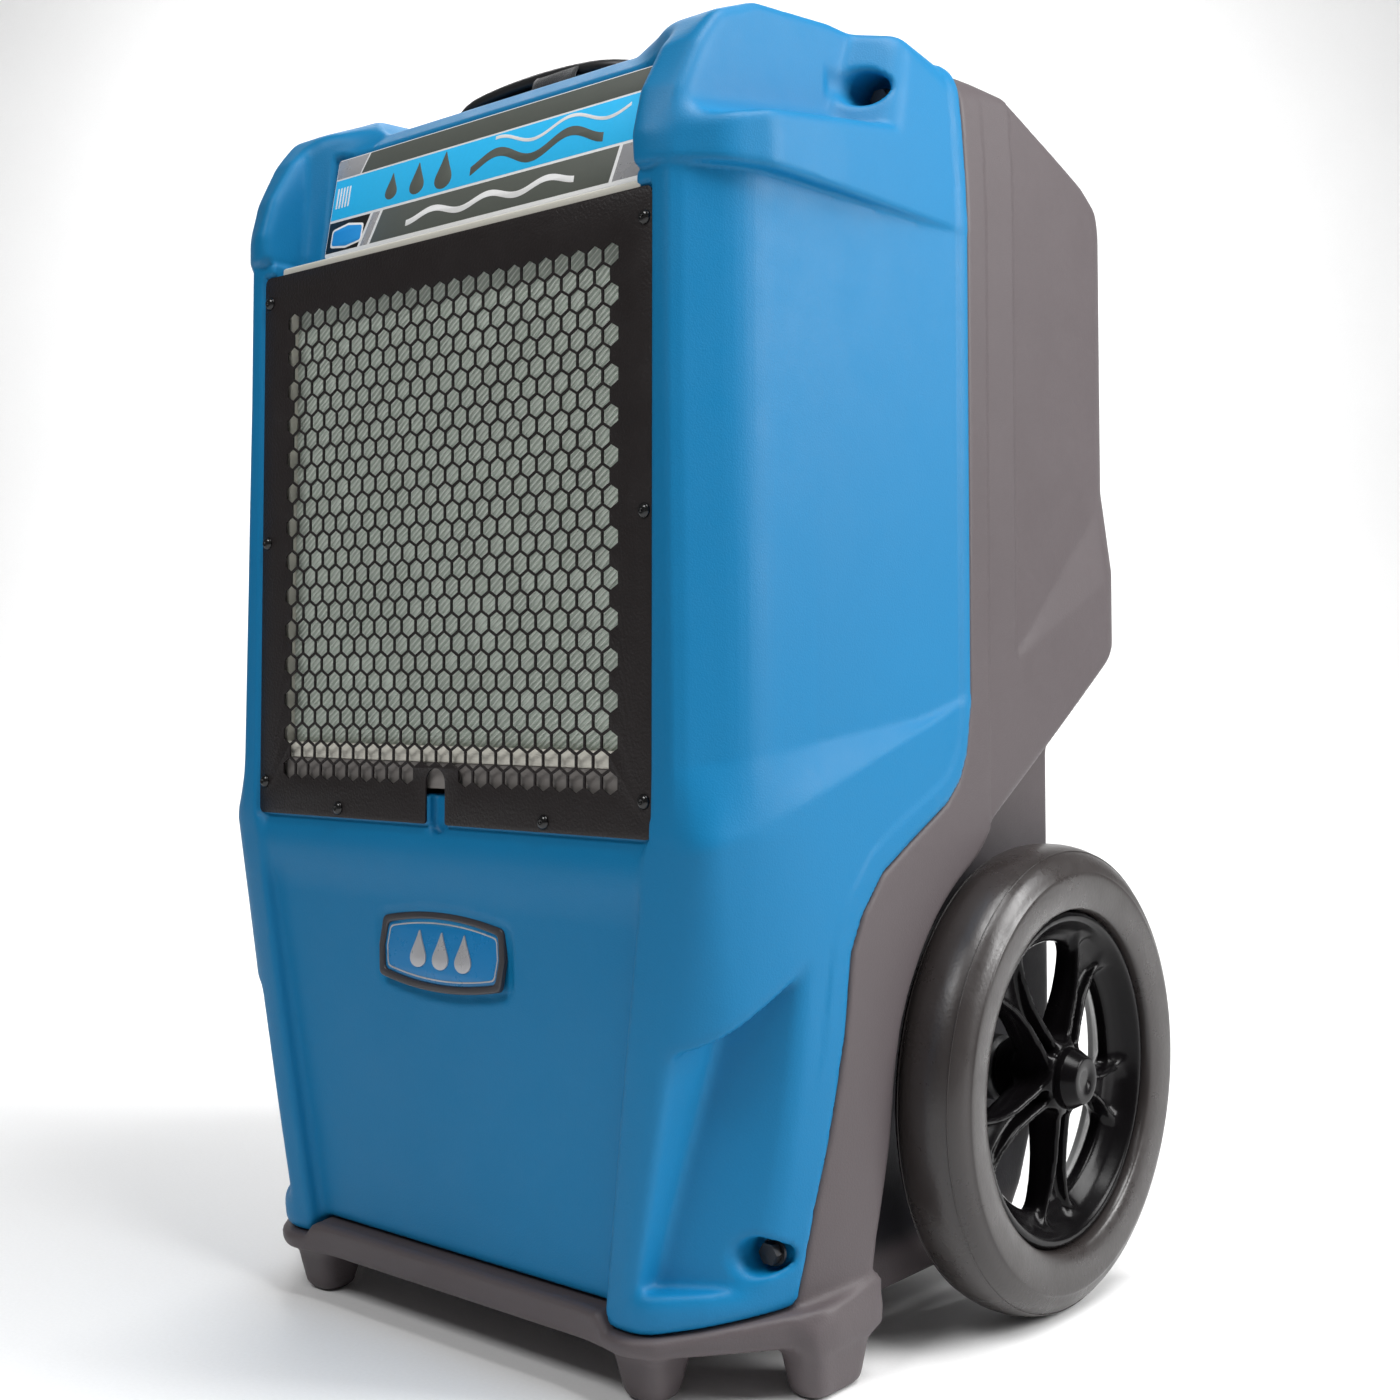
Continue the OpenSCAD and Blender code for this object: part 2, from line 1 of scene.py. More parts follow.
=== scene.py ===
import math
import bpy
import bmesh
import numpy as np
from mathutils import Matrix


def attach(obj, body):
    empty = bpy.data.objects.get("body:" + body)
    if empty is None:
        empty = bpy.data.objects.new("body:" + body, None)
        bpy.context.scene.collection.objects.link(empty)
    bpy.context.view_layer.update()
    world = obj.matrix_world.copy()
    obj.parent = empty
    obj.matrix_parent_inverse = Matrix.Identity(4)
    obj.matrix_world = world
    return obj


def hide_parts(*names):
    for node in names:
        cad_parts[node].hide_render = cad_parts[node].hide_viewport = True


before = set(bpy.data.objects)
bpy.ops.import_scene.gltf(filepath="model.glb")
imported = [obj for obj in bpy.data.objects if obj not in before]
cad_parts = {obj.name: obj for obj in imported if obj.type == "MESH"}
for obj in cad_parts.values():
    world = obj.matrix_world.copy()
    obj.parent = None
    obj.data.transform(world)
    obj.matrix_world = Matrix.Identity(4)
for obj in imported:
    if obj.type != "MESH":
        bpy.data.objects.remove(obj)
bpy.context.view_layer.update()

import openvdb as vdb
from mathutils import Matrix, Vector

# Lengths below are millimetres in a frame whose y = 0 is the grille's front; YC brings them to the row frame.
YC = 252.0
BODY = "machine"
# places that several pieces share
AXLE_Y, AXLE_Z, WHEEL_X = 336, 161, 262
FAN_Z = 610
GRILLE_HALF, GRILLE_BOTTOM, GRILLE_TOP = 191, 342.5, 734
BADGE_Z = 258
scene = bpy.context.scene


def row(x, y, z):
    return Vector((x / 1000, (y - YC) / 1000, z / 1000))


# ---------------------------------------------------------------- camera
cam_data = bpy.data.cameras.new("camera")
cam = bpy.data.objects.new("camera", cam_data)
scene.collection.objects.link(cam)
cam.location = row(880.8, -773.7, 431.0)
cam.rotation_euler = (math.radians(92.62), 0, math.radians(40.13))
cam_data.lens = 45.05
cam_data.sensor_width = 36
cam_data.shift_y = -0.0643
scene.camera = cam


# ---------------------------------------------------------------- materials
def set_inputs(node, **values):
    """Sets sockets by name, with _ for a space."""
    for socket, value in values.items():
        node.inputs[socket.replace("_", " ")].default_value = value


def material(name, color, rough=0.5, metal=0.0, vary=0.08, vary_scale=3.0, bump=0.0, bump_scale=400.0,
             coat=0.0, wear=0.06, spec=0.5, sheen=0.0):
    """Principled surface with broad colour drift, fine grain, uneven roughness and light scuffs."""
    m = bpy.data.materials.new(name)
    m.use_nodes = True
    nodes, links = m.node_tree.nodes, m.node_tree.links
    surface = nodes["Principled BSDF"]
    where = nodes.new("ShaderNodeTexCoord")

    def noise(scale, detail, roughness=0.5):
        tex = nodes.new("ShaderNodeTexNoise")
        set_inputs(tex, Scale=scale, Detail=detail, Roughness=roughness)
        links.new(where.outputs["Object"], tex.inputs["Vector"])
        return tex.outputs["Fac"]

    def ramp(fac, low, high, start=0.0, end=1.0):
        node = nodes.new("ShaderNodeValToRGB")
        first, last = node.color_ramp.elements
        first.position, last.position = start, end
        first.color, last.color = low, high
        links.new(fac, node.inputs["Fac"])
        return node.outputs["Color"]

    dark = tuple(c * (1 - vary) for c in color) + (1,)
    light = tuple(min(1, c * (1 + vary)) for c in color) + (1,)
    grain = noise(bump_scale, 2)
    speck = nodes.new("ShaderNodeMix")
    speck.data_type, speck.blend_type = "RGBA", "MULTIPLY"
    set_inputs(speck, Factor=0.25)
    links.new(ramp(noise(vary_scale, 4), dark, light, 0.3, 0.7), speck.inputs["A"])
    links.new(ramp(grain, (0.7, 0.7, 0.7, 1), (1, 1, 1, 1)), speck.inputs["B"])
    links.new(speck.outputs["Result"], surface.inputs["Base Color"])
    scuff = nodes.new("ShaderNodeMapRange")
    set_inputs(scuff, From_Min=0.35, From_Max=0.75, To_Min=max(0.02, rough - wear),
               To_Max=min(1, rough + wear))
    links.new(noise(28, 6, 0.7), scuff.inputs["Value"])
    links.new(scuff.outputs["Result"], surface.inputs["Roughness"])
    set_inputs(surface, Metallic=metal, Specular_IOR_Level=spec, Coat_Weight=coat, Coat_Roughness=0.15,
               Sheen_Weight=sheen)
    if bump:
        relief = nodes.new("ShaderNodeBump")
        set_inputs(relief, Strength=bump, Distance=0.0004)
        links.new(grain, relief.inputs["Height"])
        links.new(relief.outputs["Normal"], surface.inputs["Normal"])
    return m


def shade_wheel_well(m):
    """Darkens a material where the wall of the wheel well lies in deep shade, by its place in metres."""
    nodes, links = m.node_tree.nodes, m.node_tree.links
    where = nodes.new("ShaderNodeTexCoord")
    axes = nodes.new("ShaderNodeSeparateXYZ")
    links.new(where.outputs["Object"], axes.inputs[0])
    side = nodes.new("ShaderNodeMath")
    side.operation = "ABSOLUTE"
    links.new(axes.outputs["X"], side.inputs[0])
    off_middle, height = side.outputs[0], axes.outputs["Z"]
    shade = None
    for source, start, end in ((off_middle, 0.226, 0.220), (off_middle, 0.202, 0.206),
                               (height, 0.37, 0.27), (height, 0.05, 0.07)):
        fade = nodes.new("ShaderNodeMapRange")
        fade.interpolation_type = "SMOOTHSTEP"
        set_inputs(fade, From_Min=start, From_Max=end)
        links.new(source, fade.inputs["Value"])
        if shade is None:
            shade = fade.outputs[0]
            continue
        both = nodes.new("ShaderNodeMath")
        both.operation = "MULTIPLY"
        links.new(shade, both.inputs[0])
        links.new(fade.outputs[0], both.inputs[1])
        shade = both.outputs[0]
    dim = nodes.new("ShaderNodeMix")
    dim.data_type = "RGBA"
    base_color = nodes["Principled BSDF"].inputs["Base Color"]
    links.new(base_color.links[0].from_socket, dim.inputs["A"])
    dim.inputs["B"].default_value = (0.010, 0.009, 0.013, 1)
    links.new(shade, dim.inputs["Factor"])
    links.new(dim.outputs["Result"], base_color)


BLUE = material("blue_plastic", (0.002, 0.165, 0.365), 0.5, vary=0.04, bump=0.35, bump_scale=900,
                wear=0.05, spec=0.25)
GREY = material("grey_plastic", (0.090, 0.075, 0.079), 0.52, vary=0.06, bump=0.4, bump_scale=800, spec=0.35)
shade_wheel_well(GREY)
POWDER = material("black_coated_sheet", (0.016, 0.0125, 0.0125), 0.46, vary=0.18, bump=1.0, bump_scale=520,
                  wear=0.08, spec=0.35)
SCREW = material("black_screw", (0.008, 0.008, 0.008), 0.2, vary=0.1, bump=0.1, wear=0.05)
RACK = material("grey_sheet", (0.20, 0.185, 0.175), 0.5, vary=0.08, bump=0.2)
FRAME_WHITE = material("filter_frame", (0.72, 0.70, 0.62), 0.6, vary=0.04, bump=0.3, bump_scale=600)
FIBRE = material("filter_media", (0.54, 0.61, 0.54), 0.8, vary=0.10, vary_scale=30, bump=0.9, bump_scale=900,
                 sheen=0.3)
THREAD = material("filter_thread", (0.72, 0.76, 0.70), 0.45, vary=0.06, bump=0.1)
BOLT = material("dark_bolt", (0.022, 0.022, 0.024), 0.34, metal=0.5, vary=0.1, bump=0.2)
FINS = material("fins", (0.62, 0.64, 0.66), 0.35, metal=1.0, vary=0.06, bump=0.2)
GALV = material("galvanised", (0.50, 0.51, 0.52), 0.4, metal=0.9, vary=0.15, vary_scale=30, bump=0.2)
COPPER = material("copper", (0.62, 0.28, 0.14), 0.32, metal=1.0, vary=0.12, bump=0.1)
BLACK = material("black_plastic", (0.02, 0.02, 0.022), 0.45, vary=0.1, bump=0.3, bump_scale=700)
PAINT = material("black_paint", (0.012, 0.012, 0.013), 0.3, vary=0.1, bump=0.15, coat=0.2)
RUBBER = material("black_rubber", (0.018, 0.018, 0.018), 0.7, vary=0.12, bump=0.5, bump_scale=500)
HOSE = material("clear_hose", (0.45, 0.48, 0.5), 0.3, vary=0.06, bump=0.1)
MOTOR = material("motor_paint", (0.05, 0.05, 0.055), 0.4, vary=0.1, bump=0.2)
STEEL = material("steel", (0.56, 0.56, 0.57), 0.3, metal=1.0, vary=0.08, bump=0.1)
BADGE_GREY = material("badge_grey", (0.040, 0.038, 0.043), 0.38, vary=0.06, bump=0.15)
BADGE_BLUE = material("badge_blue", (0.004, 0.19, 0.46), 0.3, vary=0.04, bump=0.08)
PANEL = material("panel_plastic", (0.02, 0.02, 0.022), 0.4, vary=0.08, bump=0.2)
LENS = material("lens", (0.01, 0.03, 0.032), 0.08, vary=0.05, bump=0.02, coat=0.6, wear=0.02)
B_RED = material("button_red", (0.45, 0.03, 0.02), 0.4, vary=0.05, bump=0.1)
B_GREY = material("button_grey", (0.26, 0.27, 0.28), 0.4, vary=0.05, bump=0.1)
B_BLUE = material("button_blue", (0.04, 0.20, 0.42), 0.4, vary=0.05, bump=0.1)
BRASS = material("brass", (0.60, 0.44, 0.16), 0.25, metal=1.0, vary=0.08, bump=0.1)
TYRE = material("tyre", (0.032, 0.027, 0.026), 0.34, vary=0.07, bump=0.3, bump_scale=350, wear=0.1)
HUB = material("hub_black", (0.004, 0.0035, 0.004), 0.24, vary=0.1, bump=0.1, bump_scale=120, spec=0.14)
BUSH = material("bush", (0.62, 0.61, 0.58), 0.4, vary=0.04, bump=0.1)
CABLE = material("cable", (0.015, 0.015, 0.016), 0.42, vary=0.1, bump=0.2, bump_scale=600)
STRAP = material("strap", (0.012, 0.012, 0.013), 0.8, vary=0.15, bump=1.2, bump_scale=1400, sheen=0.4)
L_OLIVE = material("label_olive", (0.105, 0.115, 0.10), 0.4, vary=0.04, bump=0.05, wear=0.04)
L_SKY = material("label_sky", (0.03, 0.55, 1.0), 0.35, vary=0.02, bump=0.05, wear=0.04)
L_DEEP = material("label_deep", (0.02, 0.30, 0.75), 0.35, vary=0.02, bump=0.05, wear=0.04)
L_WHITE = material("label_white", (0.88, 0.88, 0.88), 0.4, vary=0.02, bump=0.05, wear=0.04)
L_SILVER = material("label_silver", (0.48, 0.48, 0.50), 0.3, metal=0.3, vary=0.1, vary_scale=20, bump=0.05)
L_BLACK = material("label_black", (0.01, 0.01, 0.01), 0.35, vary=0.1, bump=0.05)


# ---------------------------------------------------------------- mesh helpers
def add(name, me, mat, body=BODY, replaces=(), slot=None, split=None):
    """Makes a smooth object of a mesh, riding on a body; edges sharper than split degrees stay sharp."""
    ob = bpy.data.objects.new(name, me)
    scene.collection.objects.link(ob)
    me.materials.append(mat)
    for p in me.polygons:
        p.use_smooth = True
    if split:
        me.set_sharp_from_angle(angle=math.radians(split))
    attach(ob, body)
    if replaces:
        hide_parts(*replaces)
    return ob


def from_bm(name, bm, mat, **kw):
    bmesh.ops.recalc_face_normals(bm, faces=bm.faces[:])
    me = bpy.data.meshes.new(name)
    bm.to_mesh(me)
    bm.free()
    return add(name, me, mat, **kw)


def cover(bm, grid):
    """Fills a grid of points with quads."""
    for i in range(len(grid) - 1):
        for j in range(len(grid[0]) - 1):
            bm.faces.new((grid[i][j], grid[i + 1][j], grid[i + 1][j + 1], grid[i][j + 1]))


def rim_of(grid):
    """Points round the edge of a grid, in order."""
    n, m = len(grid) - 1, len(grid[0]) - 1
    return ([grid[i][0] for i in range(n + 1)] + [grid[n][j] for j in range(1, m + 1)]
            + [grid[i][m] for i in range(n - 1, -1, -1)] + [grid[0][j] for j in range(m - 1, 0, -1)])


def join_rings(bm, a, b):
    """Wall of quads between two closed rings of points."""
    for i in range(len(a)):
        k = (i + 1) % len(a)
        bm.faces.new((a[i], a[k], b[k], b[i]))


def lathe(bm, prof, axis="x", centre=(0, 0, 0), seg=96):
    """Turns a closed profile of (radius, offset) points about an axis; offset runs along the axis."""
    rings = []
    for k in range(seg):
        a = 2 * math.pi * k / seg
        c, s = math.cos(a), math.sin(a)
        ring = []
        for r, o in prof:
            p = {"x": (o, r * c, r * s), "y": (r * s, o, r * c), "z": (r * c, r * s, o)}[axis]
            ring.append(bm.verts.new(row(centre[0] + p[0], centre[1] + p[1], centre[2] + p[2])))
        rings.append(ring)
    for k in range(seg):
        join_rings(bm, rings[k], rings[(k + 1) % seg])


def turned(name, prof, centre, seg, mat, **kw):
    """A piece turned about the x axis from one profile."""
    bm = bmesh.new()
    lathe(bm, prof, "x", centre, seg)
    return from_bm(name, bm, mat, **kw)


def rect(x0, z0, x1, z1):
    return [(x0, z0), (x1, z0), (x1, z1), (x0, z1)]


def arc(cx, cy, r, a0, a1, n):
    """Points of a round stretch from a0 to a1 degrees."""
    turns = [math.radians(a0 + (a1 - a0) * i / n) for i in range(n + 1)]
    return [(cx + r * math.cos(a), cy + r * math.sin(a)) for a in turns]


def fillet(pts, r, n=5):
    """Rounds each corner of a closed outline; r is one radius or one per corner."""
    out, m = [], len(pts)
    rs = (list(r) + [0] * m) if isinstance(r, (list, tuple)) else [r] * m
    for i in range(m):
        p0, p, p1 = Vector(pts[i - 1]), Vector(pts[i]), Vector(pts[(i + 1) % m])
        a, b = (p0 - p), (p1 - p)
        la, lb = a.length, b.length
        a, b = a / la, b / lb
        half = math.acos(max(-1, min(1, a.dot(b)))) / 2
        t = min(rs[i] / max(math.tan(half), 1e-3), 0.48 * la, 0.48 * lb)
        if rs[i] <= 0 or half > 1.55:
            out.append(tuple(p))
            continue
        q0, q1 = p + a * t, p + b * t
        for k in range(n + 1):
            s = k / n
            out.append(tuple(q0 * (1 - s) ** 2 + p * 2 * s * (1 - s) + q1 * s * s))
    return out


# ---------------------------------------------------------------- solids as distance fields
def smin(a, b, k):
    h = np.maximum(k - np.abs(a - b), 0) / k
    return np.minimum(a, b) - h * h * k * 0.25


def smax(a, b, k):
    return -smin(-a, -b, k)


def poly(u, v, pts):
    """Signed distance to a closed outline in the plane of u and v, negative inside."""
    d = ins = None
    n = len(pts)
    for i in range(n):
        ax, ay = pts[i]
        bx, by = pts[(i + 1) % n]
        ex, ey = bx - ax, by - ay
        if ex * ex + ey * ey < 1e-12:
            continue
        wx, wy = u - ax, v - ay
        t = np.clip((wx * ex + wy * ey) / (ex * ex + ey * ey), 0, 1)
        q = (wx - ex * t) ** 2 + (wy - ey * t) ** 2
        d = q if d is None else np.minimum(d, q)
        if ey != 0:
            flip = ((ay <= v) != (by <= v)) & (u < ax + wy * (ex / ey))
            ins = flip if ins is None else ins ^ flip
    d = np.sqrt(d)
    return np.where(ins, -d, d)


def lean(x, y, z, z0, p0, q0, z1, p1, q1):
    """Wall whose plan line runs p0 to q0 at height z0 and p1 to q1 at z1; positive on its outer side."""
    t = (z - z0) / (z1 - z0)
    px, py = p0[0] + (p1[0] - p0[0]) * t, p0[1] + (p1[1] - p0[1]) * t
    dx, dy = q0[0] + (q1[0] - q0[0]) * t - px, q0[1] + (q1[1] - q0[1]) * t - py
    return ((x - px) * dy - (y - py) * dx) / np.sqrt(dx * dx + dy * dy)


def ramp01(t):
    return np.clip(t, 0, 1)


def wall(x, y, p, q):
    """Upright wall whose plan line runs p to q; positive on its outer side."""
    dx, dy = q[0] - p[0], q[1] - p[1]
    return ((x - p[0]) * dy - (y - p[1]) * dx) / np.sqrt(dx * dx + dy * dy)


def plane(x, y, z, p, q, r, out):
    """Plane through three points; positive on the side that out points to."""
    p, q, r = (np.array(v, float) for v in (p, q, r))
    n = np.cross(q - p, r - p)
    n /= np.linalg.norm(n)
    if n @ np.array(out, float) < 0:
        n = -n
    return (x - p[0]) * n[0] + (y - p[1]) * n[1] + (z - p[2]) * n[2]


def disc(u, v, cu, cv, r):
    """Distance to a round outline in the plane of u and v, negative inside."""
    return np.sqrt((u - cu) ** 2 + (v - cv) ** 2) - r


def boxd(x, y, z, lo, hi):
    """Distance to the walls of a box, negative inside."""
    across = np.maximum(np.maximum(lo[0] - x, x - hi[0]), np.maximum(lo[1] - y, y - hi[1]))
    return np.maximum(across, np.maximum(lo[2] - z, z - hi[2]))


# Outlines of the casing, each with a rounding per corner: _PLAN ones hold (x, y), the others (y, z).
SEAM = [(262, 900), (262, 424), (256, 388), (247, 370), (232, 356), (186, 332), (156, 315),
        (135, 291), (123, 267), (118, 217), (110, 167), (100, 115), (94, 69), (90, 40)]
FRONT_ZONE = fillet([(-60, 20), (-60, 900)] + SEAM + [(88, 20)],
                    [0, 0, 0, 20, 8, 12, 20, 20, 10, 20, 15, 10, 10, 10], 3)
MID_PLAN = fillet([(-90, -2), (204, -2), (211, 5), (235, 41), (250, 262), (250, 330), (-90, 330)],
                  [0, 5, 6, 66, 30, 0, 0], 5)
EAR_SIDE = fillet([(-8, 600), (-8, 744), (-9.5, 764), (-2, 793), (16, 824), (38, 848), (74, 863),
                   (150, 871), (400, 871), (400, 600)],
                  [0, 20, 12, 20, 22, 26, 30, 60, 0, 0], 4)
EAR_PLAN = fillet([(100, -60), (190, -60), (195, -13), (234, 20), (247.5, 50), (250.6, 120),
                   (250.6, 400), (100, 400)],
                  [0, 0, 25, 45, 40, 60, 0, 0], 4)
EAR_INNER_PLAN = fillet([(180.5, -80), (300, -80), (300, 400), (130, 400), (130, 60), (180.5, 28)],
                        [0, 0, 0, 0, 0, 8], 4)
DECK_SIDE = fillet([(27, 700), (28.5, 747), (43, 828), (62, 845), (300, 845), (300, 700)],
                   [0, 0, 10, 8, 0, 0], 4)
REAR_SIDE = fillet([(-40, 30), (-40, 870), (236, 871), (294, 867), (327, 863), (376, 848), (457, 826),
                    (485, 813), (504, 792), (505, 650), (514, 535), (512, 471), (492, 445), (467, 423),
                    (436, 385), (436, 190), (412, 110), (392, 66), (366, 33)],
                   [0, 0, 0, 30, 20, 30, 30, 18, 16, 60, 25, 22, 30, 30, 14, 30, 30, 30, 12], 4)
WELL = fillet([(640, 552), (432, 421), (383, 391), (300, 341), (264, 304), (240, 283), (209, 260), (190, 237),
               (179, 215), (171, 168), (166, 142), (155, 88), (151, 58), (133, -15), (640, -15)],
              [0, 20, 20, 20, 20, 20, 20, 20, 20, 20, 20, 20, 10, 0, 0], 3)
SIDES_PART = 332  # from here to the rear the upper sides lean in more than the lower ones


def tilt_side(x, y, z):
    """The outer side leans inwards near the top."""
    return plane(x, y, z, (251, 0, 778), (251, 260, 778), (241, 0, 868), (1, 0, 0))


def low_wall(x, y, z, p0, q0, p1, q1):
    """Leaning wall of the lower front: plan line p0 to q0 under the grille, p1 to q1 at the foot."""
    return lean(x, y, np.minimum(z, 345), 340, p0, q0, 50, p1, q1)


def corner_wall(x, y, z):
    """Slanted face between the front pillar and the side."""
    return low_wall(x, y, z, (222, 0), (247, 52), (194, 34), (238, 104))


def front_walls(x, y, z):
    """Front and sides of the blue shell: upright beside the grille, tapering to the foot below it."""
    flare = 4 * ramp01((640 - z) / 300) * ramp01((100 - y) / 60) * ramp01((x - 150) / 50)
    xs = x - flare
    front = low_wall(xs, y, z, (150, -4), (206, -5), (139, 14), (174, 9))
    front = smin(front, 14 - 18 * (np.minimum(z, 345) - 50) / 290 - y, 4)
    pillar = low_wall(xs, y, z, (200, -5.5), (226, 2), (168, 8.5), (196, 36))
    side = low_wall(x, y, z, (246, 44), (251, 120), (238, 100), (247, 170))
    low = smax(smax(front, pillar, 12), smax(corner_wall(xs, y, z), side, 20), 14)
    low = smax(low, x - 250.4, 10)
    # the sloping crease on the side, where the upper and the lower walls meet
    crease_low = 336 + 0.345 * np.maximum(y, -10)
    crease_high = 385 + 0.134 * np.maximum(y, -10)
    w = ramp01((z - crease_low) / np.maximum(crease_high - crease_low, 4))
    return low * (1 - w) + poly(xs, y, MID_PLAN) * w


def front_recess(x, y, z):
    """Recessed middle of the lower front, with the lip over it and the seat of the badge."""
    swell = ramp01((z - 288) / 34)
    back = 2.5 + (334 - z) * 0.072 - 5.5 * swell * swell * (3 - 2 * swell) + 7 * ramp01((z - 320) / 21) ** 2
    d = smax(y - back, x - (187 - (334 - z) * 0.162), 7)
    d = smax(d, z - 343, 2)
    seat = smax(np.abs(x) - 66, np.abs(z - BADGE_Z) - (31 - 6.5 * (x / 61) ** 2), 8)
    return np.minimum(d, smax(seat, y - back - 1.8, 3))


def ear(x, y, z):
    """Raised corner beside the label, with a pocket let into its outer side."""
    d = smax(poly(x, y, EAR_PLAN), tilt_side(x, y, z), 8)
    rounding = 9 + 22 * ramp01((150 - y) / 90) * ramp01((z - 760) / 60) + 22 * ramp01((y - 190) / 60)
    d = smax(d, poly(y, z, EAR_SIDE), rounding)
    d = smax(d, poly(x, y, EAR_INNER_PLAN), 7 + 20 * ramp01((y - 35) / 30))
    d = smax(d, 744.5 - z, 5)
    # the pocket has an upright face, a ledge, and a wall with the bolt hole
    face = x - (211.5 + 0.025 * y)
    ledge = z - (774 + 0.17 * y - 0.10 * (250 - x))
    back = plane(x, y, z, (215, 154, 826), (245, 176, 806), (245, 194, 851), (0, 1, 0))
    return smax(d, -smax(smax(-face, -ledge, 20), back, 4), 8)


def corner_pocket(x, y, z):
    """Deep pocket in the lower corner."""
    floor_wall = wall(x, y, (188, 45), (243, 82))
    inner = plane(x, y, z, (195, 0, 216), (165, 0, 76), (195, 60, 216), (-1, 0, 0))
    roof = plane(x, y, z, (205, 8, 218), (225, 20, 222), (240, 72, 259), (0, 0, 1))
    d = smax(-floor_wall, np.maximum(y - 150, -1), 3)
    return smax(smax(smax(d, inner, 8), roof, 10), 62 - z, 16)


def front_body(x, y, z):
    """Blue shell. x is the distance from the middle plane."""
    d = smax(front_walls(x, y, z), -front_recess(x, y, z), 4)
    # bottom edge, lower under the corner pillars
    foot = 46 + 10 * ramp01((146 - x) / 8) + 0.14 * np.maximum(y - 20, 0)
    d = smax(d, foot - z, 8)
    # everything above the grille
    d = smax(d, z - np.where(x < 184, 744, 760), 4)
    deck = smax(poly(y, z, DECK_SIDE), x - 182, 3)
    top = smin(ear(x, y, z), deck, 9)
    d = smin(d, top, 1 + 1.5 * ramp01((130 - y) / 110))
    upper_hole = smax(disc(x, z, 226, 829, 12.5), np.maximum(146 - y, y - 205), 3)
    d = smax(d, -upper_hole, 5)
    d = smax(d, -corner_pocket(x, y, z), 5)
    lower_hole = smax(disc(x, z, 217, 90, 11.5), y - 90, 2)
    d = smax(d, -lower_hole, 5)
    # label recess
    face = plane(x, y, z, (0, 31, 747), (1, 31, 747), (0, 45.5, 828), (0, 1, 0))
    recess = smax(smax(x - 162, face, 2), z - 829, 3)
    d = smax(d, -np.maximum(recess, 722 - z), 3)
    # seat of the grille, slot of the filter, and the groove behind the grille's notch
    seat = boxd(x, y, z, (-10, -60, 341.5), (191.6, 1.5, 735.5))
    d = smax(d, -seat, 1.6)
    slot = boxd(x, y, z, (-10, -60, 362), (179.5, 27, 752))
    d = smax(d, -slot, 1.6)
    groove = np.maximum(np.sqrt(x * x + np.maximum(344 - z, 0) ** 2) - 8, y - 8)
    d = smax(d, -smax(groove, z - 363, 1), 2)
    # well for the coiled cord
    side = 127 + np.maximum(z - 845, 0) * 1.2
    well = smax(smax(x - side, 66 - y, 10), smax(y - 250, 822 - z, 10), 10)
    d = smax(d, -well, 6)
    skin = d + 7
    # raised flange along the seam, then the seam itself
    seam = poly(y, z, FRONT_ZONE)
    flange = 13 + 7 * ramp01((400 - z) / 60)
    lift = ramp01((seam + flange) / 2.2) * ramp01((z - 170) / 60) * ramp01((x - 228) / 6)
    d = d - 1.1 * lift * lift * (3 - 2 * lift)
    d = smax(d, seam, 3.6)
    inside = np.minimum(skin, boxd(x, y, z, (-10, 20, 372), (166, 70, 738)))
    return np.maximum(d, -inside)


def rear_walls(x, y, z):
    """Sides, corners and outline of the grey shell; z0 to z1 is where the upper sides take over."""
    step = 1.8 * ramp01((y - 290.5) / 1.5)
    side_low = smax(x - 249.6, wall(x, y, (248.6, 290), (243, 500)), 3)
    side_up = smax(x - 249.6, wall(x, y, (248.6, 290), (234, 500)), 3)
    z0 = 453 + (y - SIDES_PART) * 0.427
    z1 = 453 + (y - SIDES_PART) * 0.797 + 3
    w = ramp01((z - z0) / np.maximum(z1 - z0, 5))
    side = np.where(y > SIDES_PART, side_low * (1 - w) + side_up * w, np.minimum(side_low, side_up)) + step
    corner = wall(x, y, (246, 484), (224, 516)) * (1 - w) + wall(x, y, (239, 482), (221, 507)) * w
    outline = smax(poly(y, z, REAR_SIDE), tilt_side(x, y, z), 10 + 22 * ramp01((330 - y) / 60))
    d = smax(smax(side, corner, 9), outline, 7)
    # the band in front of the wheel follows the lower walls of the blue shell
    low_side = low_wall(x, y, z, (246, 44), (251, 120), (238, 100), (246.5, 170))
    return smax(d, smax(low_side, corner_wall(x, y, z), 26), 4)


def rail_wall(x, y, z, p0, q0, p1, q1):
    """Wall of the front rail: plan line p0 to q0 at its top, p1 to q1 at its foot."""
    return lean(x, y, z, 52, p0, q0, 34, p1, q1)


def foot_pad(x, y, z, cx, cy, half_x, half_y, round_k, top):
    """Moulded foot that widens upwards; half_x and half_y are (size on the floor, growth) pairs."""
    side_x = np.abs(x - cx) - (half_x[0] + z * half_x[1])
    side_y = np.abs(y - cy) - (half_y[0] + z * half_y[1])
    return smax(smax(side_x, side_y, round_k), np.maximum(-z, z - top), 7)


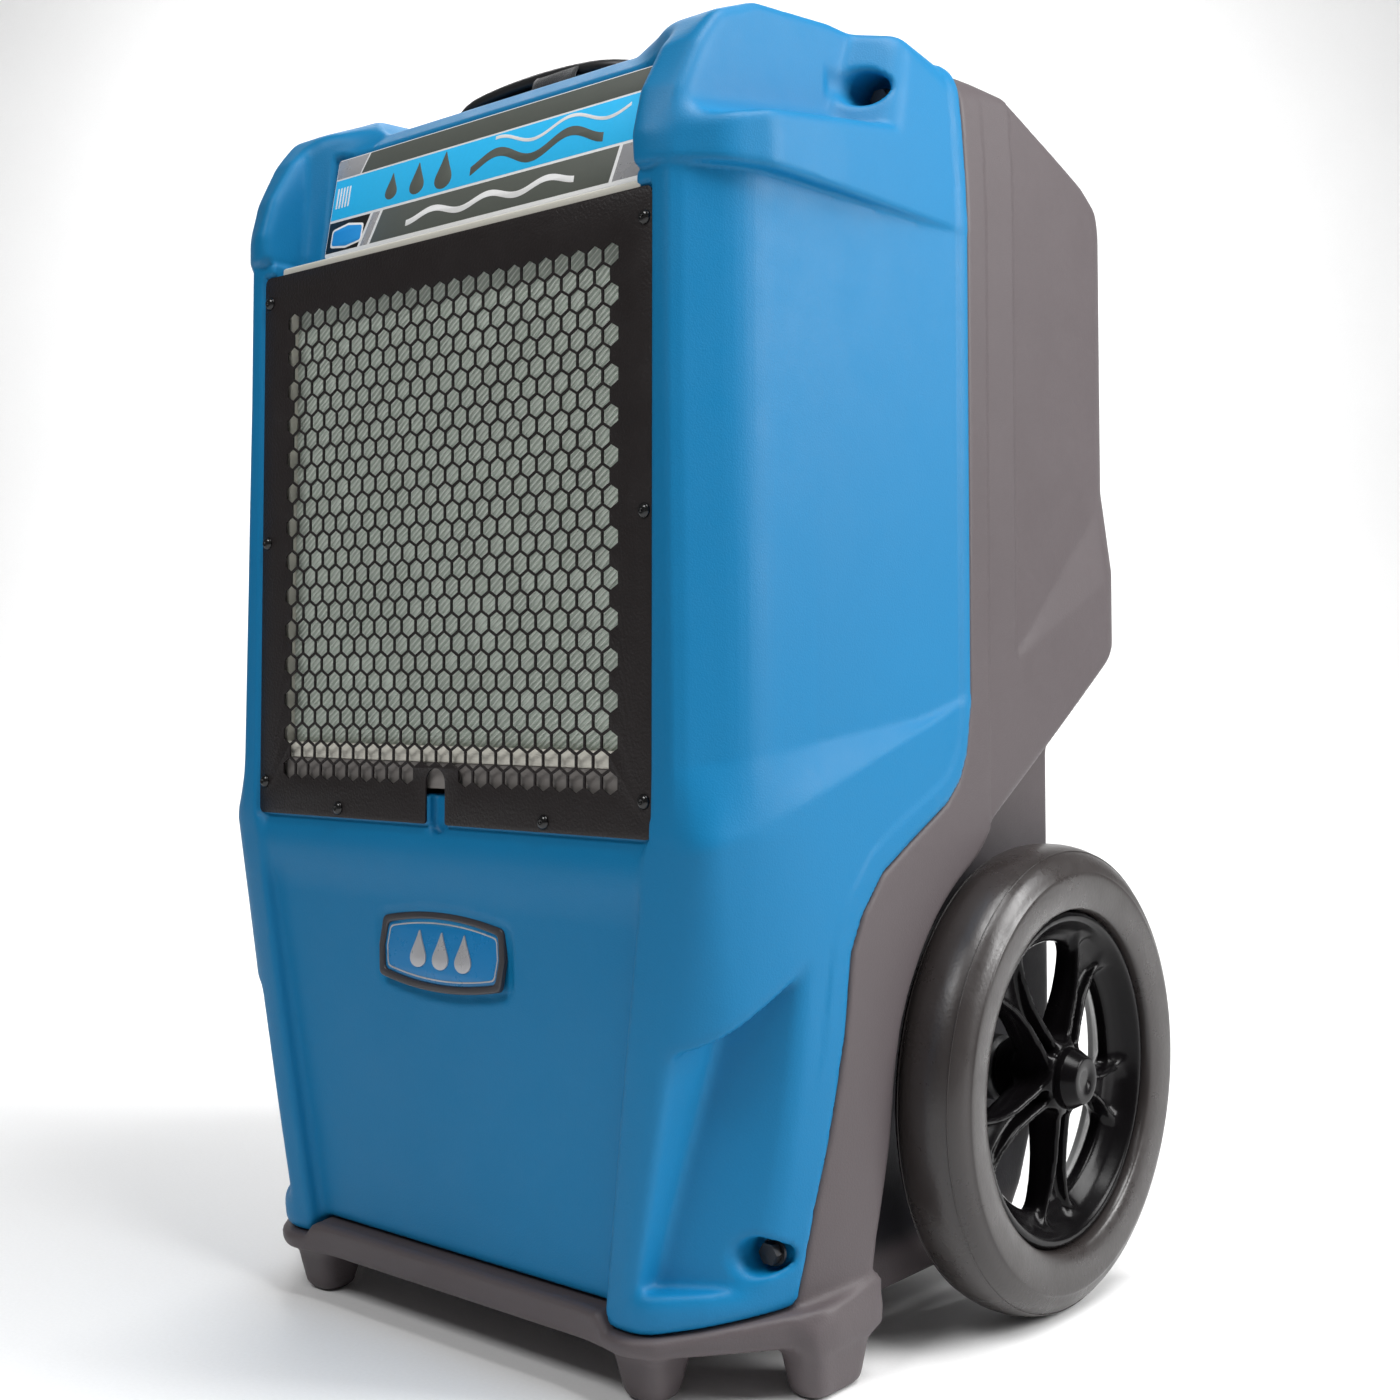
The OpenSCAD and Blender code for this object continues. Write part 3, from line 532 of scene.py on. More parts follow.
def base(x, y, z):
    """Front rail under the blue shell, and the feet."""
    middle = rail_wall(x, y, z, (0, 11), (140, 11), (0, 13), (140, 13))
    ramp = rail_wall(x, y, z, (132, 10.5), (158, 3.5), (132, 12.5), (158, 6))
    pillar = rail_wall(x, y, z, (150, 3.5), (178, 3.5), (150, 6), (178, 6))
    corner = rail_wall(x, y, z, (174, 2.5), (202, 31), (172, 4.5), (200, 33))
    side = rail_wall(x, y, z, (200, 30), (247, 102), (197, 30), (244, 102))
    rail = smax(smax(smax(smin(middle, ramp, 4), pillar, 3), corner, 16), side, 20)
    top = 45.5 + 9.5 * ramp01((146 - x) / 8) + 0.14 * np.maximum(y - 20, 0)
    d = smax(smax(rail, z - top, 6), 33 - z, 7)
    d = np.maximum(smax(d, x - 246.5, 6), y - 156)
    front_foot = foot_pad(x, y, z, 156, 41, (14, 0.2), (13, 0.2), 10, 40)
    side_foot = smax(foot_pad(x, y, z, 228, 121, (13, 0.12), (25, 0.2), 12, 46), x - 245.5, 4)
    return smin(d, smin(front_foot, side_foot, 2), 9)


def rear_body(x, y, z):
    """Grey shell, base and feet. x is the distance from the middle plane."""
    tyre_gap = smax(disc(y, z, AXLE_Y, AXLE_Z, 166), 228 - x, 6)
    wheel = smin(smax(poly(y, z, WELL), 212 - x, 10), tyre_gap, 6)
    d = smax(rear_walls(x, y, z), -wheel, 6)
    # bay for the sliding handle, and the opening behind the fan
    bay = smax(smax(x - 174, 470 - y, 10), 398 - z, 10)
    d = smax(d, -bay, 7)
    d = smax(d, -np.maximum(disc(x, z, 0, FAN_Z, 106), 440 - y), 3)
    # recess of the control panel, square to the sloping top
    slope = math.radians(15.2)
    along = (y - 416.5) * math.cos(slope) - (z - 837) * math.sin(slope)
    above = (y - 416.5) * math.sin(slope) + (z - 837) * math.cos(slope)
    pan = smax(smax(x - 116.3, np.abs(along) - 34.3, 4), -3.1 - above, 1)
    d = smax(d, -pan, 2)
    skin = d + 6
    seam = poly(y, z, FRONT_ZONE)
    d = smax(d, 0.4 - seam, 3.6)
    d = smin(d, base(x, y, z), 6)
    return np.maximum(d, -np.maximum(skin, 2 - seam))


def field_mesh(name, fn, lo, hi, step, mirrored=True, origin=(0, 0, 0)):
    """Meshes a distance field, then slides its points onto the surface. A mirrored field sees only |x|."""
    if mirrored:
        nx = int(math.ceil(hi[0] / step)) + 1
        xs = np.arange(0, nx + 1) * step
        x0 = -nx * step
    else:
        xs = np.arange(lo[0], hi[0] + step, step)
        x0 = lo[0]
    ys = np.arange(lo[1], hi[1] + step, step)
    zs = np.arange(lo[2], hi[2] + step, step)
    band = 3 * step
    val = np.clip(fn(xs[:, None, None], ys[None, :, None], zs[None, None, :]), -band, band).astype(np.float32)
    if mirrored:
        val = np.concatenate([val[:0:-1], val], axis=0)
    grid = vdb.FloatGrid(background=band)
    grid.copyFromArray(np.ascontiguousarray(val))
    pts, quads = grid.convertToQuads(isovalue=0.0)
    p = pts.astype(np.float64) * step + np.array([x0, lo[1], lo[2]])

    def f(q):
        return fn(np.abs(q[:, 0]) if mirrored else q[:, 0], q[:, 1], q[:, 2])

    # value and slope from four points round each vertex
    h = 0.2
    corners = np.array([(1, 1, 1), (1, -1, -1), (-1, 1, -1), (-1, -1, 1)]) * h
    for _ in range(2):
        vals = [f(p + c) for c in corners]
        v = sum(vals) / 4
        g = sum(w[:, None] * c for w, c in zip(vals, corners)) / (4 * h * h)
        gg = np.maximum((g * g).sum(1), 0.2)
        p -= g * (np.clip(v, -step, step) / gg)[:, None]
    p += np.array(origin)
    p[:, 1] -= YC
    p /= 1000
    me = bpy.data.meshes.new(name)
    me.vertices.add(len(p))
    me.vertices.foreach_set("co", p.ravel())
    me.loops.add(len(quads) * 4)
    me.loops.foreach_set("vertex_index", quads[:, ::-1].astype(np.int32).ravel())
    me.polygons.add(len(quads))
    me.polygons.foreach_set("loop_start", np.arange(0, len(quads) * 4, 4, dtype=np.int32))
    me.update(calc_edges=True)
    me.validate()
    return me


STEP = 3.0
add("front_shell", field_mesh("front_shell", front_body, (0, -18, 38), (258, 272, 876), STEP), BLUE,
    replaces=["front_housing"], slot="blue_plastic")
add("rear_shell", field_mesh("rear_shell", rear_body, (0, -6, -8), (256, 524, 878), STEP), GREY,
    replaces=["rear_housing"], slot="grey_plastic")

# ---------------------------------------------------------------- helpers for plates and lines
def outline_mesh(name, outer, holes, depth, bevel, place, mat, res=2, **kw):
    """Flat plate of an outline with holes, extruded and edge-rounded. place maps (u, v, w) to a row point."""
    cu = bpy.data.curves.new(name + "_c", "CURVE")
    cu.dimensions = "2D"
    cu.fill_mode = "BOTH"
    cu.extrude = max(depth / 2 - bevel, 0)
    cu.bevel_depth = bevel
    cu.bevel_resolution = res
    cu.offset = -bevel
    for pts in [outer] + list(holes):
        sp = cu.splines.new("POLY")
        sp.points.add(len(pts) - 1)
        for i, q in enumerate(pts):
            sp.points[i].co = (q[0], q[1], 0, 1)
        sp.use_cyclic_u = True
    tmp = bpy.data.objects.new(name + "_t", cu)
    scene.collection.objects.link(tmp)
    bpy.context.view_layer.update()
    me = bpy.data.meshes.new_from_object(tmp.evaluated_get(bpy.context.evaluated_depsgraph_get()))
    bpy.data.objects.remove(tmp)
    me.name = name
    me.materials.clear()
    for v in me.vertices:
        v.co = place(v.co.x, v.co.y, v.co.z)
    bm = bmesh.new()
    bm.from_mesh(me)
    bmesh.ops.remove_doubles(bm, verts=bm.verts[:], dist=1e-6)
    bmesh.ops.recalc_face_normals(bm, faces=bm.faces[:])
    bm.to_mesh(me)
    bm.free()
    return add(name, me, mat, split=32, **kw)


def frame_of(origin, u=(1, 0, 0), v=(0, 0, 1)):
    """Maps (a, b, c) on a plate's own axes to a row point; c is its thickness."""
    o, u, v = Vector(origin), Vector(u).normalized(), Vector(v).normalized()
    w = u.cross(v)

    def place(a, b, c):
        q = o + u * a + v * b + w * c
        return row(q.x, q.y, q.z)
    return place


def smooth_line(pts, n=6):
    """Catmull-Rom points through pts."""
    out = []
    q = [pts[0]] + list(pts) + [pts[-1]]
    for i in range(1, len(q) - 2):
        a, b, c, d = (Vector(v) for v in q[i - 1:i + 3])
        for k in range(n):
            t = k / n
            square, cube = 2 * a - 5 * b + 4 * c - d, 3 * b - a - 3 * c + d
            out.append(0.5 * (2 * b + (c - a) * t + square * t * t + cube * t ** 3))
    out.append(Vector(q[-2]))
    return out


# ---------------------------------------------------------------- grille and screws
FLATS, PITCH = 12.7, 14.3
ROWS, LONG_ROW = 27, 23
ROWS_MIDDLE = 536


def hexagon(cx, cz, flats):
    r = flats / math.sqrt(3)
    return [(cx + r * math.sin(k * math.pi / 3), cz + r * math.cos(k * math.pi / 3)) for k in range(6)]


holes = []
for j in range(ROWS):
    zc = ROWS_MIDDLE + (j - 13) * PITCH * 0.866
    n = LONG_ROW - j % 2
    for i in range(n):
        xc = (i - (n - 1) / 2) * PITCH
        over_notch = j == 0 and abs(xc) < 1.3 * PITCH
        if not over_notch:
            holes.append(hexagon(xc, zc, FLATS))
notch = ([(-9.5, GRILLE_BOTTOM), (-9.5, 370)] + arc(0, 370, 9.5, 165, 15, 10)
         + [(9.5, 370), (9.5, GRILLE_BOTTOM)])
corners = rect(-GRILLE_HALF, GRILLE_BOTTOM, GRILLE_HALF, GRILLE_TOP)
edge = fillet(corners[:1] + notch + corners[1:], [5, 2.5] + [0] * (len(notch) - 2) + [2.5, 5, 6, 6], 4)
outline_mesh("grille_sheet", edge, holes, 1.5, 0.22, frame_of((0, 0.75, 0)), POWDER, res=1,
             replaces=["front_grille"], slot="black_coated_sheet")

screw_head = [(0.4, -2.2), (1.2, -2.9), (2.2, -2.75), (3.2, -2.3), (4.0, -1.6), (4.6, -0.7), (4.8, 0.0),
              (0.4, 0.0), (0.3, -1.2)]
bm = bmesh.new()
for side in (-1, 1):
    for x, z in [(185, 715), (185, 538), (185, 365), (101, 349)]:
        lathe(bm, screw_head, "y", (side * x, 0, z), 28)
from_bm("grille_screw_heads", bm, SCREW, replaces=["grille_screws"], slot="black_screw")

# ---------------------------------------------------------------- filter
# a card frame with a fibrous sheet under fine slanted threads
card_outer, card_inner = fillet(rect(-177, 383, 177, 740.5), 2, 2), fillet(rect(-166, 394, 166, 733), 2, 2)
outline_mesh("filter_card", card_outer, [card_inner], 18, 0.8, frame_of((0, 14, 0)), FRAME_WHITE,
             body="air_filter", replaces=["filter_frame"], slot="filter_frame")
rng = np.random.default_rng(7)
nu, nv = 84, 86
us, vs = np.linspace(-168, 168, nu + 1), np.linspace(392, 735, nv + 1)
field = rng.normal(0, 1, (nu + 1, nv + 1))
for _ in range(2):
    around = (np.roll(field, 1, 0), np.roll(field, 1, 1), np.roll(field, -1, 0), np.roll(field, -1, 1))
    field = (field + around[0] + around[1] + around[2] + around[3]) / 5
bm = bmesh.new()
sheets = []
for face_y, sign in ((11.6, 1), (21.5, -1)):
    sheets.append([[bm.verts.new(row(u, face_y + sign * field[i, j] * 0.9, v)) for j, v in enumerate(vs)]
                   for i, u in enumerate(us)])
    cover(bm, sheets[-1])
join_rings(bm, rim_of(sheets[0]), rim_of(sheets[1]))
from_bm("filter_fibre", bm, FIBRE, body="air_filter", replaces=["filter_media"], slot="filter_media")

THREAD_GAP = 3.5
thread_section = ((-0.45, 0.5), (-0.2, -0.1), (0.2, -0.1), (0.45, 0.5))
along, across = Vector((0.80, 0, 0.60)), Vector((-0.60, 0, 0.80))
bm = bmesh.new()
for k in range(-72, 73):
    start = across * (k * THREAD_GAP)
    # the stretch of this line that lies inside the sheet's edges
    lo_t, hi_t = -1e9, 1e9
    for at, slope, half in ((start.x, along.x, 165.5), (start.z, along.z, 169)):
        t0, t1 = (-half - at) / slope, (half - at) / slope
        lo_t, hi_t = max(lo_t, min(t0, t1)), min(hi_t, max(t0, t1))
    if hi_t - lo_t < 6:
        continue
    ends = [Vector((0, 10.3, 563.5)) + start + along * t for t in (lo_t, hi_t)]
    first, last = [[bm.verts.new(row(*(end + across * a + Vector((0, b, 0))))) for a, b in thread_section]
                   for end in ends]
    for m in range(3):
        bm.faces.new((first[m], first[m + 1], last[m + 1], last[m]))
from_bm("filter_threads", bm, THREAD, body="air_filter", slot="filter_media")

# ---------------------------------------------------------------- label
LABEL_TILT = math.radians(10.03)
label_u, label_v = Vector((1, 0, 0)), Vector((0, math.sin(LABEL_TILT), math.cos(LABEL_TILT)))


def label_plate(name, pts, lift, mat, thick=0.12, r=0, replaces=()):
    """Flat area of one colour on the label; lift raises it over the areas under it."""
    place = frame_of(Vector((0, 28.35, 746)) + label_u.cross(label_v) * (0.3 + lift), label_u, label_v)
    outline_mesh("label_" + name, fillet(pts, r, 4) if r else pts, [], thick, 0.03, place, mat, res=1,
                 replaces=replaces, slot="label")


def band(z0, z1, left0, right0, left1, right1):
    """Four corners of a band from height z0 to z1, with its ends at the lower and at the upper edge."""
    return [(left0, z0), (right0, z0), (right1, z1), (left1, z1)]


def drop(cx, cz, s):
    """Outline of a drop of water, pointed at the top."""
    pts = []
    for k in range(28):
        a = 2 * math.pi * k / 28
        squeeze = (0.5 + 0.5 * math.sin(a)) ** 1.6
        pts.append((cx + s * math.cos(a) * (1 - 0.82 * squeeze),
                    cz + s * math.sin(a) * (1 + 0.55 * max(0, math.sin(a)))))
    return pts


def wave(x0, x1, n, level, swing, length, thick):
    """Wavy ribbon with n points along each edge."""
    upper = [(x, level + swing * math.sin(x / length)) for x in np.linspace(x0, x1, n)]
    return upper + [(x, z - thick) for x, z in reversed(upper)]


label_plate("base", rect(-159, 3.5, 159, 81), 0.0, L_WHITE, 0.5, 3, replaces=["label_panel"])
for name, outline, mat in (
        ("top_band", band(66, 80.4, -130, 158, -122, 158), L_OLIVE),
        ("silver_patch", band(66, 80.4, -158.4, -132, -158.4, -124), L_SILVER),
        ("sky_band", rect(-158.4, 33, 158.4, 64.6), L_SKY),
        ("low_band", band(7, 31, -108, 128, -98, 134), L_OLIVE),
        ("low_dark", band(7, 31, -158.4, -122, -158.4, -112), L_BLACK),
        ("low_silver", band(7, 31, -119, -111, -109, -101), L_SILVER),
        ("low_end", band(7, 31, 131, 158.4, 137, 158.4), L_SILVER)):
    label_plate(name, outline, 0.32, mat)
emblem_rim = [(-154, 11), (-136, 8.5), (-118, 11), (-118, 25), (-136, 28), (-154, 25)]
emblem = [(-152.4, 12.4), (-136, 10.2), (-119.6, 12.4), (-119.6, 23.6), (-136, 26.2), (-152.4, 23.6)]
label_plate("emblem_rim", emblem_rim, 0.44, L_WHITE, 0.12, 3)
label_plate("emblem", emblem, 0.56, L_DEEP, 0.12, 2.5)
for i, (cx, s) in enumerate([(-92, 8.0), (-64, 9.5), (-36, 11.0)]):
    label_plate("drop_%d" % i, drop(cx, 46, s), 0.42, L_OLIVE)
label_plate("wave_upper", wave(-8, 118, 64, 49, 5.5, 11.0, 6.5), 0.42, L_OLIVE)
label_plate("wave_top", wave(14, 140, 64, 59, 4.5, 11.0, 2.4), 0.42, L_WHITE)
label_plate("wave_low", wave(-70, 96, 72, 21, 3.0, 9.0, 4.5), 0.42, L_WHITE)
for k in range(5):
    label_plate("mark_%d" % k, rect(-155 + k * 3.4, 42, -153.4 + k * 3.4, 58), 0.42, L_WHITE)

# ---------------------------------------------------------------- badge
BADGE_TILT = math.radians(4.4)
badge_v = Vector((0, math.sin(BADGE_TILT), math.cos(BADGE_TILT)))
badge_n = Vector((1, 0, 0)).cross(badge_v)


def bowed(w, h, bow, side, r):
    """Outline with bowed upper and lower edges, pointed sides and rounded corners."""
    top = [(w * k / 8, h - bow * (k / 8) ** 2) for k in range(8, -9, -1)]
    low = [(w * k / 8, -h + bow * (k / 8) ** 2) for k in range(-8, 9)]
    pts = top + [(-w - side, 0)] + low + [(w + side, 0)]
    radii = [0] * len(pts)
    for corner in (0, 16, 18, 34):
        radii[corner] = r
    return fillet(pts, radii, 6)


def badge_plate(name, outer, inner, thick, bevel, height, mat, res=2, **kw):
    """Plate or, with an inner outline, ring on the badge; height is that of its middle."""
    place = frame_of(Vector((-1, 8.2, BADGE_Z)) + badge_n * height, (1, 0, 0), badge_v)
    outline_mesh(name, outer, [inner[::-1]] if inner else [], thick, bevel, place, mat, res=res, **kw)


badge_plate("badge_rim", bowed(59, 26, 6.3, 2.4, 9), bowed(54.2, 21.2, 5.8, 2.2, 6), 4.6, 1.3, 0.6,
            BADGE_GREY, res=3, replaces=["badge_frame"], slot="badge_grey")
badge_plate("badge_face", bowed(54.8, 21.1, 5.8, 2.2, 6), None, 3.0, 0.3, -0.6, BADGE_BLUE,
            replaces=["badge_plate"], slot="badge_blue")
badge_plate("badge_line", bowed(52.6, 19.0, 5.4, 2.0, 5), bowed(51.6, 18.0, 5.2, 2.0, 4.5), 0.5, 0.1, 1.0,
            L_SILVER, slot="badge_grey")
for i, dx in enumerate((-22, 0, 22)):
    shape = [(x + dx, z - 2) for x, z in drop(0, 0, 9.6)]
    badge_plate("badge_drop_%d" % i, shape, None, 1.2, 0.2, 1.35, L_SILVER, slot="badge_grey")

# ---------------------------------------------------------------- wheels
SPOKES = 5
RIM = fillet([(115.6, -24), (115.6, 16), (113, 19.5), (108.5, 19), (102, 9), (97.5, 5), (92.5, 2), (92.5, -6),
              (98, -10), (104, -16), (110, -24)],
             [2, 2, 2, 3, 3, 3, 2, 3, 3, 3, 2], 3)


def hub_field(x, y, z):
    """Moulded hub: rim, spokes with a rib along each edge, and the barrel on the bush."""
    r = np.sqrt(y * y + z * z)
    rim = poly(r, x, RIM)
    # u runs out along the nearest spoke, v across it
    a = np.arctan2(z, y) + math.pi / 2 + math.radians(-2)
    share = 2 * math.pi / SPOKES
    a = np.abs(a - np.round(a / share) * share)
    u, v = r * np.cos(a), r * np.sin(a)
    wide = 8.5 + 3.0 * ramp01((34 - u) / 16) ** 2 + 13 * ramp01((u - 52) / 44) ** 2
    top = 16.5 - 0.115 * np.clip(u - 20, 0, 90)
    web = smax(smax(v - wide, np.abs(x + 1) - 3.2, 3), u - 104, 2)
    rib = smax(smax(np.abs(v - wide + 2.2) - 2.1, x - top, 2), smax(-9 - x, u - 104, 2), 2)
    spoke = np.maximum(smin(web, rib, 4), 10 - u)
    d = smin(rim, spoke, 7)
    barrel = smax(r - 23, np.maximum(-28 - x, x - 18), 3)
    d = smin(d, barrel, 8)
    return smax(d, 12.2 - r, 1)


def chaikin(pts, n):
    """Cuts the corners of a closed outline n times."""
    for _ in range(n):
        out = []
        for i, a in enumerate(pts):
            b = pts[(i + 1) % len(pts)]
            out += [(a[0] * s + b[0] * (1 - s), a[1] * s + b[1] * (1 - s)) for s in (0.75, 0.25)]
        pts = out
    return pts


HUB_STEP = 2.2
hub_me = field_mesh("wheel_hub_mesh", hub_field, (-30, -118, -118), (22, 119, 119), HUB_STEP, mirrored=False,
                    origin=(WHEEL_X, AXLE_Y, AXLE_Z))
# profiles as (radius, offset) points
tyre_half = [(115.7, 17), (116.5, 23.2), (119, 25.0), (126, 27.2), (134, 28.2), (142.5, 28.6), (144.0, 27.4),
             (150, 25.2), (155.5, 20.8), (159.2, 14.5), (160.9, 7)]
tyre_prof = chaikin(tyre_half + [(161.2, 0)] + [(r, -o) for r, o in reversed(tyre_half)], 2)
cap_prof = fillet([(9, 18.1), (21.5, 18.1), (20.5, 24), (15.5, 33.0), (0.6, 33.4), (0.6, 28), (9, 28)],
                  [0, 1, 2, 2, 0, 0, 0], 4)
seam_prof = [(157.0 + 0.45 * math.cos(t), 0.45 * math.sin(t)) for t in (0, 1.05, 2.1, 3.14, 4.2, 5.25)]
boss_prof = fillet([(8.1, 205.0), (23, 205.0), (23, 228.0), (20, 231.5), (8.1, 231.5)], [0, 0, 2, 2, 0], 3)
for side, tag in ((1, "right"), (-1, "left")):
    body = "wheel_" + tag
    centre = (side * WHEEL_X, AXLE_Y, AXLE_Z)
    me = hub_me.copy()
    if side < 0:
        me.transform(Matrix.Scale(-1, 4, (1, 0, 0)))
        me.flip_normals()
    add("hub_moulding_" + tag, me, HUB, body=body, replaces=["wheel_hub_" + tag], slot="hub_black")
    turned("tyre_solid_" + tag, [(r, side * o) for r, o in tyre_prof], centre, 144, TYRE, body=body,
           replaces=["tyre_" + tag], slot="tyre")
    # the two mould lines
    bm = bmesh.new()
    for s in (1, -1):
        lathe(bm, [(r, s * 18.6 + o) for r, o in seam_prof], "x", centre, 144)
    from_bm("tyre_seam_" + tag, bm, TYRE, body=body, slot="tyre")
    turned("hub_cap_" + tag, [(r, side * o) for r, o in cap_prof], centre, 64, HUB, body=body,
           replaces=["wheel_cap_" + tag], slot="hub_black")
    turned("axle_boss_" + tag, [(r, side * o) for r, o in boss_prof], (0, AXLE_Y, AXLE_Z), 64, BLACK,
           replaces=["axle_spacers"], slot="black_plastic")

# ---------------------------------------------------------------- cord
TURNS, GAP = 15, 9.85
SEGMENTS = 72
COIL_HALF_X, COIL_Y = 56.0, 152
COIL_TOP = 860.0


def loop_point(b, s, lift):
    """Point on a flat-sided loop; s runs 0..1 from the middle of the rear leg towards -x."""
    half = COIL_HALF_X
    s = s % 1.0
    if s < 0.115:
        p = (-half * s / 0.115, b)
    elif s < 0.385:
        a = math.pi / 2 + math.pi * (s - 0.115) / 0.27
        p = (-half + b * math.cos(a), b * math.sin(a))
    elif s < 0.615:
        p = (-half + 2 * half * (s - 0.385) / 0.23, -b)
    elif s < 0.885:
        a = -math.pi / 2 + math.pi * (s - 0.615) / 0.27
        p = (half + b * math.cos(a), b * math.sin(a))
    else:
        p = (half - half * (s - 0.885) / 0.115, b)
    return Vector((p[0], COIL_Y + p[1], lift + 4.0 - 14.5 * (p[0] / 118) ** 2))


# three layers of five rings, laid inwards and outwards by turns, with a short change-over in each turn
order = [(layer, ring if layer % 2 == 0 else 4 - ring) for layer in range(3) for ring in range(5)]
cord_pts = [Vector(v) for v in ((-60, 238, 845), (-60.5, 232, 846.5), (-62, 226, 850), (-66, 220, 855))]
for k in range(TURNS):
    for m in range(SEGMENTS):
        s = m / SEGMENTS
        if k == 0 and s < 0.17:
            continue
        t = 0.0 if s < 0.9 else (s - 0.9) / 0.1
        t = t * t * (3 - 2 * t)
        a, b = order[k], order[min(k + 1, TURNS - 1)]
        layer, ring = a[0] + (b[0] - a[0]) * t, a[1] + (b[1] - a[1]) * t
        # no turn lies quite straight, and the upper ones fan out at the strap
        rise = 0.45 * math.sin(s * 12.566 + k * 1.9)
        drift = 0.5 * math.cos(s * 6.283 + k * 2.7)
        fan = math.exp(-((s - 0.40) / 0.09) ** 2) * (0.55 if k < 5 else 0.0)
        z = COIL_TOP - layer * GAP + rise + fan * (1.5 - ring) * 0.9
        cord_pts.append(loop_point(61 - ring * GAP + drift, s, z))
tail = [(-14, 173.5, 845), (-36, 173.5, 845.5), (-52, 170, 846), (-60, 161.5, 846), (-57, 152.5, 845.5),
        (-48, 149, 845), (-39.5, 149, 845)]
cord_pts += smooth_line([tuple(cord_pts[-1])] + tail, 5)[1:]
cord_cu = bpy.data.curves.new("power_cable", "CURVE")
cord_cu.dimensions = "3D"
cord_cu.bevel_depth = 0.00475
cord_cu.bevel_resolution = 3
cord_cu.use_fill_caps = True
line = cord_cu.splines.new("POLY")
line.points.add(len(cord_pts) - 1)
for point, at in zip(line.points, cord_pts):
    point.co = (*row(*at), 1)
cable = bpy.data.objects.new("power_cable", cord_cu)
scene.collection.objects.link(cable)
cord_cu.materials.append(CABLE)
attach(cable, BODY)
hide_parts("cord_coil", "power_cord")

# plug: body, two flat blades and a round earth pin
plug_prof = fillet([(0.5, -40), (6.5, -40), (7.5, -28), (13.5, -22), (14.5, -4), (14.5, 6), (12, 7.5),
                    (0.5, 7.5)],
                   [0, 1, 3, 4, 3, 2, 1, 0], 4)
pin_prof = fillet([(0.3, 7), (2.4, 7), (2.4, 25), (1.4, 27), (0.3, 27)], [0, 0, 1, 1, 0], 3)
bm = bmesh.new()
lathe(bm, plug_prof, "x", (0, 149, 845), 40)
for y in (142.5, 155.5):
    blade = bmesh.ops.create_cube(bm, size=1)["verts"]
    bmesh.ops.scale(bm, vec=(0.018, 0.0016, 0.0064), verts=blade)
    bmesh.ops.translate(bm, vec=row(16, y, 848), verts=blade)
lathe(bm, pin_prof, "x", (0, 149, 839.5), 20)
plug = from_bm("mains_plug", bm, CABLE, replaces=["power_plug"], slot="cable")

# strap: a soft band closed round the front leg of the coil, its end pressed over itself
STRAP_Y, STRAP_Z = 110, 849.5
BAND_POINTS = 72


def strap_loop(k):
    """Point k of the strap's rounded section, measured from its middle."""
    a = 2 * math.pi * k / BAND_POINTS
    c, s = math.cos(a), math.sin(a)
    return 26.3 * math.copysign(abs(c) ** 0.55, c), 17.2 * math.copysign(abs(s) ** 0.5, s)


def strap_row(bm, x, ks, grow):
    """One line of points across the strap; grow(k) scales the section at point k."""
    out = []
    for k in ks:
        dy, dz = strap_loop(k)
        out.append(bm.verts.new(row(x + (dz + 0.5) * 0.10, STRAP_Y + dy * grow(k), STRAP_Z + dz * grow(k))))
    return out


def thicken(ob, thickness):
    solid = ob.modifiers.new("thick", "SOLIDIFY")
    solid.thickness, solid.offset = thickness, 0


bm = bmesh.new()
cols = []
for i in range(13):
    f = i / 12
    pinch = 1 - 0.02 * math.cos((f - 0.5) * math.pi)
    cols.append(strap_row(bm, 3 + 41 * f, range(BAND_POINTS),
                          lambda k: pinch + 0.010 * math.sin(k * 0.6 + i * 0.5)))
for a, b in zip(cols, cols[1:]):
    join_rings(bm, a, b)
strap = from_bm("cable_strap", bm, STRAP, replaces=["cord_strap"], slot="strap")
thicken(strap, 0.0018)
bm = bmesh.new()
cols = [strap_row(bm, 4.5 + 38 * i / 8, range(4, 26), lambda k: 1.055 + 0.006 * math.sin(k * 0.9 + i))
        for i in range(9)]
for a, b in zip(cols, cols[1:]):
    for k in range(len(a) - 1):
        bm.faces.new((a[k], a[k + 1], b[k + 1], b[k]))
flap = from_bm("cable_strap_end", bm, STRAP, slot="strap")
thicken(flap, 0.0016)

# ---------------------------------------------------------------- fan and handle grip
BLADES = 6
SPAN, CHORD = 10, 8  # quads along a blade and across it
HANDLE_Y, GRIP_Z = 490, 776
hub_prof = fillet([(6.2, 402), (34, 402), (40, 406), (40, 442), (34, 444), (6.2, 444)], [0, 2, 2, 2, 2, 0], 3)


def blade_point(b, f, g):
    """Middle surface of blade b; f runs 0..1 from hub to tip, g -0.5..0.5 across."""
    r = 37 + 74 * f
    pitch = math.radians(52 - 24 * f)
    chord = 40 + 14 * f - 27 * max(0, f - 0.8)
    a = 2 * math.pi * b / BLADES + (g * chord * math.cos(pitch)) / r + 0.12 * f
    y = 422 + g * chord * math.sin(pitch) * 0.8 + 9.6 * (0.25 - g * g)
    return r * math.cos(a), y, FAN_Z + r * math.sin(a)


